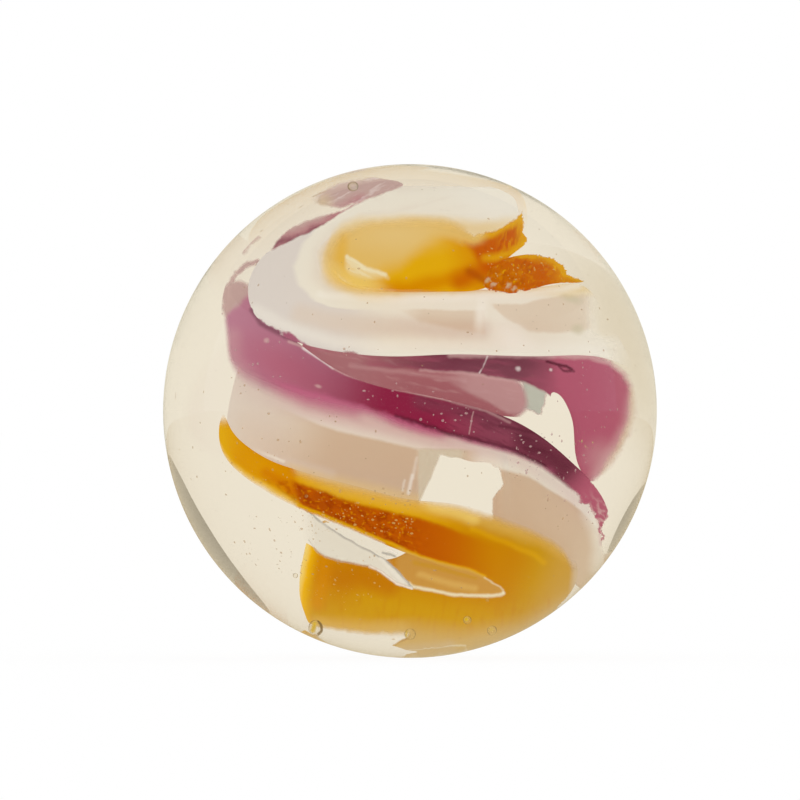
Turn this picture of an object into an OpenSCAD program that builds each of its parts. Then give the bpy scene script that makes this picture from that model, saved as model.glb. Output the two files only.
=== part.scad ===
// Glass marble: a clear ball round a corkscrew of white, purple and amber glass ribbons

/* [Ball] */
// Diameter of the ball
ball_d = 16; // [12:0.5:50]
// Refractive index of the clear glass, which sets where a ribbon lies for where it is seen
glass_index = 1.5; // [1.4:0.01:1.7]

/* [Ribbons] */
// Thickness of the white ribbons at their middle
white_t = 0.4; // [0.2:0.05:0.6]
// Thickness of the purple ribbons at their middle
purple_t = 0.3; // [0.2:0.05:0.5]
// Thickness of the amber ribbons at their middle
amber_t = 0.3; // [0.2:0.05:0.5]

/* [Bubbles] */
// Diameter of the largest air bubble
bubble_d = 0.5; // [0.1:0.05:0.8]

/* [Hidden] */

ball_r = ball_d / 2;
ball_facets = 96;

// Steps along and across each ribbon
along_steps = 38;
across_steps = 6;
chip_steps = 10;
// How squarely a ribbon's ends are cut: a higher power keeps the thickness closer to the end
end_power = 8;

// Every place below is given as it is seen from the front of the ball, along +Y:
// [across, up, depth], where across and up are shares of the ball's radius,
// and depth is the share of the sight line through the glass, 0 at the front skin and 1 at the back.
// A ribbon's stations run along it, and each station holds the places from one edge to the other.

// White ribbon: from the back over the top, round the left side and across the front, out to the right
upper_white_shares = [
  [[0.46, 0.72, 0.53], [0.46, 0.79, 0.55], [0.44, 0.86, 0.57]],
  [[0.29, 0.68, 0.53], [0.29, 0.80, 0.55], [0.28, 0.92, 0.57]],
  [[0.02, 0.68, 0.52], [0.01, 0.81, 0.54], [0.00, 0.92, 0.56]],
  [[-0.18, 0.67, 0.50], [-0.21, 0.76, 0.52], [-0.25, 0.83, 0.54]],
  [[-0.27, 0.63, 0.48], [-0.38, 0.68, 0.50], [-0.46, 0.72, 0.52]],
  [[-0.29, 0.58, 0.45], [-0.46, 0.60, 0.47], [-0.61, 0.61, 0.49]],
  [[-0.28, 0.54, 0.42], [-0.48, 0.50, 0.44], [-0.66, 0.49, 0.46]],
  [[-0.23, 0.51, 0.38], [-0.43, 0.42, 0.40], [-0.62, 0.37, 0.41]],
  [[-0.11, 0.49, 0.34], [-0.29, 0.36, 0.37], [-0.44, 0.27, 0.34]],
  [[0.08, 0.49, 0.30], [-0.03, 0.34, 0.35], [-0.13, 0.22, 0.28]],
  [[0.30, 0.49, 0.30], [0.23, 0.34, 0.35], [0.17, 0.23, 0.27]],
  [[0.50, 0.50, 0.32], [0.50, 0.34, 0.37], [0.49, 0.22, 0.29]],
  [[0.67, 0.52, 0.38], [0.72, 0.35, 0.41], [0.76, 0.22, 0.37]],
  [[0.74, 0.47, 0.45], [0.84, 0.31, 0.47], [0.93, 0.15, 0.47]],
];

// White ribbon under the lower purple one, with the gap that the clear glass shows through
lower_white_shares = [
  [[-0.70, 0.20, 0.52], [-0.73, 0.07, 0.53], [-0.745, -0.06, 0.54]],
  [[-0.585, 0.155, 0.47], [-0.65, -0.02, 0.50], [-0.695, -0.17, 0.51]],
  [[-0.40, 0.09, 0.42], [-0.47, -0.11, 0.47], [-0.51, -0.30, 0.47]],
  [[-0.19, 0.03, 0.39], [-0.25, -0.18, 0.46], [-0.29, -0.37, 0.43]],
  [[0.01, -0.035, 0.365], [-0.02, -0.23, 0.45], [-0.05, -0.42, 0.40]],
  [[0.095, -0.05, 0.355], [0.09, -0.23, 0.43], [0.05, -0.42, 0.40]],
  [[0.155, -0.06, 0.345], [0.15, -0.135, 0.365], [0.15, -0.19, 0.38]],
  [[0.26, -0.085, 0.345], [0.25, -0.16, 0.365], [0.25, -0.20, 0.38]],
  [[0.35, -0.105, 0.355], [0.35, -0.18, 0.37], [0.36, -0.22, 0.39]],
  [[0.39, -0.115, 0.36], [0.39, -0.33, 0.43], [0.335, -0.51, 0.41]],
  [[0.52, -0.175, 0.385], [0.51, -0.38, 0.45], [0.49, -0.58, 0.44]],
  [[0.65, -0.275, 0.45], [0.63, -0.48, 0.50], [0.60, -0.66, 0.53]],
  [[0.735, -0.37, 0.53], [0.71, -0.55, 0.57], [0.66, -0.69, 0.60]],
  [[0.785, -0.47, 0.59], [0.75, -0.60, 0.61], [0.68, -0.71, 0.64]],
  [[0.80, -0.55, 0.63], [0.775, -0.615, 0.64], [0.72, -0.68, 0.65]],
];

// Purple ribbon's upper branch: a band, a film that ends short and a lobe that turns down at the right
upper_purple_shares = [
  [[-0.44, 0.31, 0.44], [-0.45, 0.24, 0.44]],
  [[-0.26, 0.27, 0.42], [-0.27, 0.10, 0.42]],
  [[0.04, 0.26, 0.38], [0.04, 0.04, 0.38]],
  [[0.28, 0.26, 0.37], [0.28, -0.01, 0.37]],
  [[0.42, 0.26, 0.38], [0.45, -0.03, 0.38]],
  [[0.50, 0.26, 0.39], [0.545, -0.02, 0.39]],
  [[0.55, 0.26, 0.40], [0.565, 0.07, 0.40]],
  [[0.62, 0.25, 0.42], [0.62, 0.05, 0.42]],
  [[0.72, 0.24, 0.45], [0.665, -0.06, 0.45]],
  [[0.81, 0.22, 0.50], [0.675, -0.21, 0.50]],
  [[0.89, 0.165, 0.54], [0.735, -0.295, 0.54]],
  [[0.925, 0.085, 0.56], [0.845, -0.225, 0.56]],
  [[0.935, 0.02, 0.57], [0.91, -0.10, 0.57]],
];

// Purple ribbon: from the back, round the left side and down across the front to the right
lower_purple_shares = [
  [[0.00, 0.88, 0.64], [0.00, 0.93, 0.64]],
  [[-0.22, 0.82, 0.64], [-0.25, 0.93, 0.63]],
  [[-0.45, 0.69, 0.62], [-0.50, 0.79, 0.61]],
  [[-0.60, 0.57, 0.59], [-0.70, 0.61, 0.57]],
  [[-0.61, 0.46, 0.54], [-0.765, 0.43, 0.51]],
  [[-0.56, 0.36, 0.48], [-0.75, 0.21, 0.47]],
  [[-0.45, 0.28, 0.41], [-0.66, 0.01, 0.41]],
  [[-0.30, 0.17, 0.34], [-0.43, -0.04, 0.35]],
  [[-0.12, 0.10, 0.29], [-0.21, -0.10, 0.31]],
  [[0.10, 0.06, 0.27], [0.07, -0.165, 0.29]],
  [[0.36, -0.01, 0.27], [0.31, -0.215, 0.29]],
  [[0.53, -0.10, 0.30], [0.48, -0.275, 0.32]],
  [[0.68, -0.23, 0.37], [0.61, -0.36, 0.38]],
  [[0.76, -0.32, 0.43], [0.70, -0.44, 0.43]],
  [[0.80, -0.41, 0.47], [0.75, -0.505, 0.47]],
  [[0.80, -0.49, 0.46], [0.775, -0.545, 0.46]],
  [[0.79, -0.56, 0.45], [0.785, -0.57, 0.45]],
];

// Amber ribbon at the top, which lies on the inside of the white one
upper_amber_shares = [
  [[-0.35, 0.53, 0.36], [-0.37, 0.58, 0.37], [-0.38, 0.64, 0.39]],
  [[-0.22, 0.48, 0.30], [-0.26, 0.61, 0.35], [-0.28, 0.74, 0.41]],
  [[-0.08, 0.475, 0.24], [-0.10, 0.63, 0.34], [-0.12, 0.79, 0.43]],
  [[0.10, 0.475, 0.22], [0.09, 0.64, 0.33], [0.08, 0.80, 0.44]],
  [[0.30, 0.49, 0.24], [0.28, 0.65, 0.34], [0.26, 0.80, 0.44]],
  [[0.375, 0.60, 0.29], [0.385, 0.69, 0.36], [0.38, 0.82, 0.45]],
  [[0.475, 0.68, 0.33], [0.47, 0.75, 0.39], [0.46, 0.83, 0.46]],
];

// Amber ribbon at the bottom: across the front, round the right side and back behind to the left
lower_amber_shares = [
  [[-0.76, 0.01, 0.47], [-0.76, -0.01, 0.47], [-0.765, -0.03, 0.47]],
  [[-0.705, -0.10, 0.43], [-0.73, -0.14, 0.42], [-0.755, -0.175, 0.43]],
  [[-0.58, -0.19, 0.39], [-0.60, -0.24, 0.38], [-0.62, -0.30, 0.40]],
  [[-0.44, -0.24, 0.35], [-0.44, -0.32, 0.34], [-0.44, -0.395, 0.36]],
  [[-0.25, -0.29, 0.31], [-0.25, -0.38, 0.30], [-0.26, -0.47, 0.33]],
  [[-0.02, -0.35, 0.28], [-0.02, -0.46, 0.27], [-0.02, -0.57, 0.31]],
  [[0.20, -0.37, 0.28], [0.20, -0.52, 0.27], [0.20, -0.65, 0.32]],
  [[0.42, -0.44, 0.31], [0.38, -0.58, 0.30], [0.33, -0.70, 0.36]],
  [[0.61, -0.53, 0.37], [0.48, -0.65, 0.37], [0.365, -0.71, 0.42]],
  [[0.69, -0.65, 0.46], [0.50, -0.72, 0.46], [0.33, -0.665, 0.47]],
  [[0.605, -0.793, 0.54], [0.38, -0.79, 0.53], [0.17, -0.59, 0.52]],
  [[0.375, -0.923, 0.61], [0.16, -0.81, 0.57], [0.03, -0.545, 0.54]],
  [[0.10, -0.985, 0.64], [-0.03, -0.80, 0.60], [-0.08, -0.60, 0.56]],
  [[-0.16, -0.92, 0.64], [-0.21, -0.76, 0.61], [-0.25, -0.59, 0.57]],
  [[-0.35, -0.90, 0.64], [-0.37, -0.74, 0.61], [-0.37, -0.56, 0.57]],
  [[-0.42, -0.88, 0.64], [-0.465, -0.73, 0.61], [-0.425, -0.525, 0.57]],
];

// Chip of amber torn off at the upper ribbon's right end
amber_chip_shares = [
  [[0.27, 0.485, 0.165], [0.30, 0.555, 0.19]],
  [[0.36, 0.47, 0.17], [0.37, 0.61, 0.21]],
  [[0.45, 0.475, 0.18], [0.46, 0.63, 0.23]],
  [[0.54, 0.505, 0.20], [0.55, 0.63, 0.25]],
  [[0.60, 0.515, 0.23], [0.62, 0.59, 0.27]],
  [[0.64, 0.52, 0.25], [0.645, 0.55, 0.27]],
  [[0.71, 0.52, 0.28], [0.71, 0.525, 0.28]],
];

// Air bubbles: [across, up, depth] as seen, then the share of the largest bubble's diameter
bubble_shares = [
  [-0.37, -0.87, 0.10, 1],
  [0.00, -0.90, 0.10, 0.75],
  [0.23, -0.84, 0.10, 0.5],
  [0.33, -0.88, 0.10, 0.6],
  [-0.46, -0.66, 0.15, 0.3],
];

// Where a place that is seen from the front lies in the ball, with the sight line bent at the skin
function place(seen) =
  let (
    front = sqrt(1 - seen.x * seen.x - seen.y * seen.y),
    skin = [seen.x, -front, seen.y],
    inside_cos = sqrt(1 - (1 - front * front) / (glass_index * glass_index)),
    bend = front / glass_index - inside_cos,
    sight = bend * skin + [0, 1 / glass_index, 0]
  )
  ball_r * (skin + 2 * inside_cos * seen.z * sight);

// Smooth curve through points, at a share of its length
function curve(points, share) =
  let (
    spans = len(points) - 1,
    i = min(floor(share * spans), spans - 1),
    f = share * spans - i,
    before = points[max(i - 1, 0)],
    from = points[i],
    to = points[i + 1],
    after = points[min(i + 2, spans)]
  )
  from + f * (to - before + f * (2 * before - 5 * from + 4 * to - after
    + f * (3 * from - before - 3 * to + after))) / 2;

// One row of places across a ribbon, closer together at its rims
function row(stations, share) =
  let (crossing = [for (k = [0:len(stations[0]) - 1]) curve([for (s = stations) s[k]], share)])
  [for (j = [0:across_steps]) place(curve(crossing, (1 - cos(180 * j / across_steps)) / 2))];

function unit(v) = v / norm(v);

// A ribbon with rounded rims and ends: two grids of points, joined along their shared border
module ribbon(stations, thickness, steps) {
  rows = [for (i = [0:steps]) row(stations, i / steps)];
  width = across_steps + 1;
  skin_points = [
    for (side = [1, -1])
      for (i = [0:steps])
        for (j = [0:across_steps])
          let (
            inner = i > 0 && i < steps && j > 0 && j < across_steps,
            ends = sqrt(1 - pow(2 * i / steps - 1, end_power)),
            rise = inner ? side * thickness / 2 * ends * sin(180 * j / across_steps) : 0,
            along = inner ? rows[i + 1][j] - rows[i - 1][j] : [1, 0, 0],
            across = inner ? rows[i][j + 1] - rows[i][j - 1] : [0, 1, 0]
          )
          rows[i][j] + rise * unit(cross(along, across))
  ];
  function at(side, i, j) =
    let (inner = i > 0 && i < steps && j > 0 && j < across_steps)
    (inner ? side : 0) * (steps + 1) * width + i * width + j;
  skin_faces = [
    for (side = [0, 1])
      for (i = [0:steps - 1])
        for (j = [0:across_steps - 1])
          let (
            a = at(side, i, j),
            b = at(side, i + 1, j),
            c = at(side, i + 1, j + 1),
            d = at(side, i, j + 1),
            forward = (i < steps / 2) == (j < across_steps / 2),
            pair = forward ? [[a, c, b], [a, d, c]] : [[a, d, b], [b, d, c]]
          )
          for (face = pair)
            side == 0 ? face : [face[2], face[1], face[0]]
  ];
  polyhedron(skin_points, skin_faces);
}

module upper_white_ribbon() {
  color("white") ribbon(upper_white_shares, white_t, along_steps);
}

module lower_white_ribbon() {
  color("linen") ribbon(lower_white_shares, white_t, along_steps);
}

module upper_purple_ribbon() {
  color("mediumvioletred") ribbon(upper_purple_shares, purple_t, along_steps);
}

module lower_purple_ribbon() {
  color("purple") ribbon(lower_purple_shares, purple_t, along_steps);
}

module upper_amber_ribbon() {
  color("orange") ribbon(upper_amber_shares, amber_t, along_steps);
}

module lower_amber_ribbon() {
  color("darkorange") ribbon(lower_amber_shares, amber_t, along_steps);
}

module amber_chip() {
  color("chocolate") ribbon(amber_chip_shares, amber_t, chip_steps);
}

module bubbles() {
  for (b = bubble_shares)
    translate(place(b))
      sphere(d = b[3] * bubble_d, $fn = ball_facets);
}

module clear_glass() {
  color("ivory", 0.3)
    difference() {
      sphere(d = ball_d, $fn = ball_facets);
      upper_white_ribbon();
      lower_white_ribbon();
      upper_purple_ribbon();
      lower_purple_ribbon();
      upper_amber_ribbon();
      lower_amber_ribbon();
      amber_chip();
      bubbles();
    }
}

clear_glass();
upper_white_ribbon();
lower_white_ribbon();
upper_purple_ribbon();
lower_purple_ribbon();
upper_amber_ribbon();
lower_amber_ribbon();
amber_chip();
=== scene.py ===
"""Glass marble: a clear ball with white, purple and amber ribbons wound inside it.

Places on the ribbons are written as they are seen through the front of the ball, across and up from its
middle, in hundredths of the ball's radius.
"""

import math
import random

import bpy
import numpy as np
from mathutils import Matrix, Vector


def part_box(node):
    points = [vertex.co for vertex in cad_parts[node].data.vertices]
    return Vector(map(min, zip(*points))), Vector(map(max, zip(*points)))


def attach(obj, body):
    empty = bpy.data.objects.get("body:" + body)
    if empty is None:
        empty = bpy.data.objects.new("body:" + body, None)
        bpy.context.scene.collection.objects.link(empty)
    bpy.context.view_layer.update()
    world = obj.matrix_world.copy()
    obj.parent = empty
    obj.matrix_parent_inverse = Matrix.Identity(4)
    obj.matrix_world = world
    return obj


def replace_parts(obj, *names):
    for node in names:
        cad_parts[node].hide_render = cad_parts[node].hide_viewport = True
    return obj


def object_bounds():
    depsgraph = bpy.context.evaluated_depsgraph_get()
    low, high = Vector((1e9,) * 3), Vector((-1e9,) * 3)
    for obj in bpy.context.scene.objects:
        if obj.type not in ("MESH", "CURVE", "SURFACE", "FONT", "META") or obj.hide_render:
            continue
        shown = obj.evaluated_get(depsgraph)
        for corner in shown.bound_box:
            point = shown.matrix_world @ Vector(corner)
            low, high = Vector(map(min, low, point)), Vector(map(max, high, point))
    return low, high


bl_info = {
    "name": "Glass marble",
    "version": (1, 0, 0),
    "blender": (4, 5, 0),
    "location": "3D View > Sidebar > Marble",
    "description": "Clear glass ball with coloured ribbons wound inside it",
    "category": "Add Mesh",
}

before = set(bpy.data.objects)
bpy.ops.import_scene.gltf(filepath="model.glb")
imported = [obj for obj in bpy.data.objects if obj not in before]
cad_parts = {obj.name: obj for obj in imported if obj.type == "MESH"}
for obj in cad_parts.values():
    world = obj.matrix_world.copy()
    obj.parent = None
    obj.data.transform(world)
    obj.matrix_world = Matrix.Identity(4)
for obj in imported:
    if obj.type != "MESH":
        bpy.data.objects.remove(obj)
CAD_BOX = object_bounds()
BALL_LOW, BALL_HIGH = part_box("clear_glass")
BALL_RADIUS = (BALL_HIGH.x - BALL_LOW.x) / 2
HUNDREDTH = 0.01
SEEN_MAP = "seen"
GLASS_TINT = (0.845, 0.77, 0.625)
# Share of each painted piece's colour that it gives off as emission: a painted glow in place of the light
# that shines through the translucent glass
GLOW = 0.5


def shade(red, green, blue):
    """A colour as a screen shows it, from 0 to 255, as the linear colour that Blender takes."""
    parts = (red / 255, green / 255, blue / 255)
    return tuple(part / 12.92 if part <= 0.04045 else ((part + 0.055) / 1.055) ** 2.4 for part in parts)


def inside(red, green, blue):
    """The colour that a ribbon has for it to look so through the skin of the tinted ball."""
    skin = [math.sqrt(tint) for tint in GLASS_TINT]
    lit = [share * (GLOW + (1 - GLOW) * share) for share in skin]
    return tuple(min(1, part / share) for part, share in zip(shade(red, green, blue), lit))


def colour_property(name, description, default):
    """A colour that a user may change."""
    return bpy.props.FloatVectorProperty(
        name=name, description=description, subtype="COLOR", size=3, min=0, max=1, default=default
    )


def tone_property(name, description, red, green, blue):
    """A ribbon's colour that a user may change, as it is seen through the ball."""
    return colour_property(name, description, inside(red, green, blue))


def length_property(name, description, default):
    """A length that a user may change."""
    return bpy.props.FloatProperty(
        name=name, description=description, default=default, subtype="DISTANCE", unit="LENGTH"
    )


# Sizes and colours that a user may change
class MarbleClear(bpy.types.PropertyGroup):
    """The clear glass and what is caught in it."""

    index: bpy.props.FloatProperty(
        name="Glass index", description="How strongly the glass bends light", default=1.5, min=1.3, max=1.8
    )
    tint: colour_property("Tint", "Colour that white light takes on its way through the ball", GLASS_TINT)
    waviness: length_property(
        "Waviness", "Height of the fire-polished surface's slow waves", BALL_RADIUS * 0.001
    )
    wave_size: length_property("Wave size", "Width of the surface's slow waves", BALL_RADIUS * 0.4)
    speck_size: length_property(
        "Speck size", "Width of the largest pit in the worn surface", BALL_RADIUS * 0.014
    )
    speck: colour_property("Speck", "Colour of the pits in the worn surface", shade(224, 190, 146))
    purple_speck: colour_property(
        "Purple's speck", "Colour of the pits over the purple", shade(226, 190, 196)
    )
    amber_speck: colour_property("Amber's speck", "Colour of the pits over the amber", shade(252, 204, 120))
    bubble: tone_property("Bubble", "Middle of an air bubble", 230, 200, 132)
    # A bubble's dark ring is painted shade, where the real bubble bends light away.
    bubble_shade: tone_property("Bubble rim", "Rim of an air bubble", 128, 90, 10)
    # Painted highlight: bright amber that a bubble shows inside it.
    bubble_highlight: tone_property("Drop", "Amber that a bubble shows", 248, 196, 20)
    fold: tone_property("Fold", "Clear glass folded over at the bottom", 220, 212, 192)
    fold_line: tone_property("Fold line", "Grey edge of the folded clear glass", 160, 154, 142)
    fold_gleam: tone_property(
        "Fold gleam", "Bright edge of the folded glass, and the top bubble's gleam", 244, 240, 230
    )


class MarbleWhite(bpy.types.PropertyGroup):
    """The opal white glass."""

    white: tone_property("White", "Opal white glass", 234, 225, 206)
    mauve: tone_property("Mauve white", "White glass that the purple shows through", 219, 208, 197)
    # Cream also paints the shade along the recess between the upper white's lips.
    cream: tone_property("Cream", "Thin white glass with a warm cast", 220, 203, 185)
    # Beige is the thin glass's colour and also the painted shade in the recesses of the folds.
    beige: tone_property("Beige", "Thin, see-through white glass in the folds", 210, 183, 152)
    pink: tone_property("Pink", "White glass beside the purple", 215, 183, 173)
    straw: tone_property("Straw", "White glass that the amber shows through", 229, 200, 140)
    shadow: tone_property("Shadow", "Purple that shows under the white's torn edge", 166, 94, 114)
    grey: tone_property("Grey", "Clear glass at the thin end of a fold", 206, 194, 164)
    gleam: tone_property("Gleam", "Bright line where a fold catches the light", 246, 242, 232)


class MarblePurple(bpy.types.PropertyGroup):
    """The purple glass."""

    purple: tone_property("Purple", "Main purple glass", 184, 120, 137)
    rose: tone_property("Rose", "Purple where light comes through it", 176, 87, 107)
    dark: tone_property("Dark purple", "Thick purple glass", 122, 60, 75)
    crimson: tone_property("Crimson", "Thick purple glass in the lower branch", 138, 36, 64)
    # Wine also paints the shadow under the white's lower edge.
    wine: tone_property("Wine", "Darkest lines in the purple", 78, 26, 40)
    film: tone_property("Film", "Thin see-through purple film", 168, 101, 104)
    mauve: tone_property("Mauve", "Purple glass seen deep behind the clear glass", 194, 160, 151)
    magenta: tone_property("Magenta", "Purple that thins out over the white", 190, 98, 126)
    # Blush also paints highlights on the purple's left end and along its fold.
    blush: tone_property("Blush", "Faint purple", 208, 168, 162)
    brown: tone_property("Brown", "Thin margin of the purple", 212, 188, 150)
    grey: tone_property("Grey", "Grey-green bit at the film's end", 186, 186, 168)
    gleam: tone_property("Gleam", "Bright line along the fold", 240, 226, 222)


class MarbleAmber(bpy.types.PropertyGroup):
    """The amber glass."""

    pale: tone_property("Pale yellow", "Amber glass that thins out over the white", 225, 184, 100)
    gold: tone_property("Gold", "Thin amber glass", 225, 168, 12)
    amber: tone_property("Amber", "Main amber glass", 214, 137, 0)
    turn: tone_property("Turned amber", "Amber glass where the ribbon turns", 199, 129, 2)
    orange: tone_property("Orange", "Thick amber glass", 197, 90, 1)
    deep: tone_property("Deep orange", "Thickest amber glass", 174, 76, 4)
    umber: tone_property("Umber", "Darkest patches in the thick amber", 150, 52, 1)
    brown: tone_property("Brown amber", "Amber glass under the fold", 194, 117, 1)
    honey: tone_property("Honey", "Amber glass at the bottom turn", 200, 146, 12)
    sheet: tone_property("Sheet amber", "Amber glass at the back of the bottom", 206, 151, 6)
    # Sun yellow is gold painted lighter, to make up for the shade that falls on the amber at the back of the
    # bottom.
    sun: tone_property("Sun yellow", "Margin of the amber at the back of the bottom", 246, 182, 6)
    lemon: tone_property("Lemon", "Yellow that the amber thins out to", 243, 208, 112)
    sand: tone_property("Sand", "Amber glass that fades into the clear glass", 208, 172, 104)
    dust: tone_property("Dust", "Faintest amber, at the turn's outer edge", 208, 182, 146)
    gleam: tone_property("Gleam", "Bright line along the fold", 246, 232, 196)


class MarbleStage(bpy.types.PropertyGroup):
    """The floor, the cards, the light and the camera."""

    light: bpy.props.FloatProperty(
        name="Light", description="Strength of the white surroundings", default=1.0, min=0
    )
    card: colour_property("Card", "Colour of the two cards that show as crescents", (0.33, 0.32, 0.285))
    back_card: colour_property(
        "Back card", "Colour of the card behind the ball, for its rim", shade(224, 216, 194)
    )
    floor_card: colour_property(
        "Floor card", "Colour that the ball's lower rim mirrors", shade(196, 178, 142)
    )
    top_card: colour_property("Top card", "Colour of the card above the ball", (0.42, 0.4, 0.34))
    side_card: colour_property("Side card", "Colour of the pale card left of the ball", shade(237, 232, 222))
    distance: length_property("Camera distance", "From the camera to the ball's middle", 0.5)


# Shader building

# How far an edge wanders for a wobble of 1, in hundredths of the radius, and how often
WOBBLE_REACH = 4
WOBBLE_FINENESS = 14.0
NOISE_DETAIL = 4.0
NOISE_ROUGHNESS = 0.65
SEED_STEP = (0.37, 0.61)


class Value:
    """A number that changes over a surface. Sums with it add Math nodes."""

    def __init__(self, paint, socket):
        self.paint, self.socket = paint, socket

    def sum_of(self, operation, first, second):
        """A Math node's outcome."""
        made = self.paint.node("ShaderNodeMath", {"operation": operation}, {0: first, 1: second})
        return Value(self.paint, made.outputs[0])

    def __add__(self, other):
        return self.sum_of("ADD", self, other)

    def __sub__(self, other):
        return self.sum_of("SUBTRACT", self, other)

    def __rsub__(self, other):
        return self.sum_of("SUBTRACT", other, self)

    def __mul__(self, other):
        return self.sum_of("MULTIPLY", self, other)

    def lower(self, other):
        """The lower of the two."""
        return self.sum_of("MINIMUM", self, other)

    def higher(self, other):
        """The higher of the two."""
        return self.sum_of("MAXIMUM", self, other)

    __radd__ = __add__
    __rmul__ = __mul__


class Tree:
    """The nodes of one material."""

    def __init__(self, name):
        self.material = bpy.data.materials.new(name)
        self.material.use_nodes = True
        self.tree = self.material.node_tree
        self.tree.nodes.clear()

    def node(self, kind, settings=None, sockets=None):
        """A node of a kind, with its settings made first and its sockets set or linked next."""
        made = self.tree.nodes.new(kind)
        for key, value in (settings or {}).items():
            if key == "stops":
                stops = made.color_ramp.elements
                while len(stops) < len(value):
                    stops.new(1)
                for stop, (position, level) in zip(stops, value):
                    stop.position, stop.color = position, (level, level, level, 1)
            else:
                setattr(made, key, value)
        for key, value in (sockets or {}).items():
            value = value.socket if isinstance(value, Value) else value
            if isinstance(value, bpy.types.NodeSocket):
                self.tree.links.new(value, made.inputs[key])
            else:
                made.inputs[key].default_value = value
        return made

    def vector(self, operation, first, second=None, scale=None):
        """A Vector Math node's outcome: a number for a length or dot product, else a vector."""
        sockets = {0: first}
        if second is not None:
            sockets[1] = second
        if scale is not None:
            sockets["Scale"] = scale
        made = self.node("ShaderNodeVectorMath", {"operation": operation}, sockets)
        if operation in ("LENGTH", "DISTANCE", "DOT_PRODUCT"):
            return Value(self, made.outputs["Value"])
        return made.outputs["Vector"]

    def smooth(self, value, start, end):
        """0 at start and 1 at end, eased at both."""
        made = self.node(
            "ShaderNodeMapRange",
            {"interpolation_type": "SMOOTHSTEP"},
            {"Value": value, "From Min": start, "From Max": end, "To Min": 0.0, "To Max": 1.0},
        )
        return Value(self, made.outputs["Result"])

    def surface(self, shader):
        """The finished material, with a shader as its surface."""
        self.node("ShaderNodeOutputMaterial", {}, {"Surface": shader.outputs[0]})
        return self.material


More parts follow.
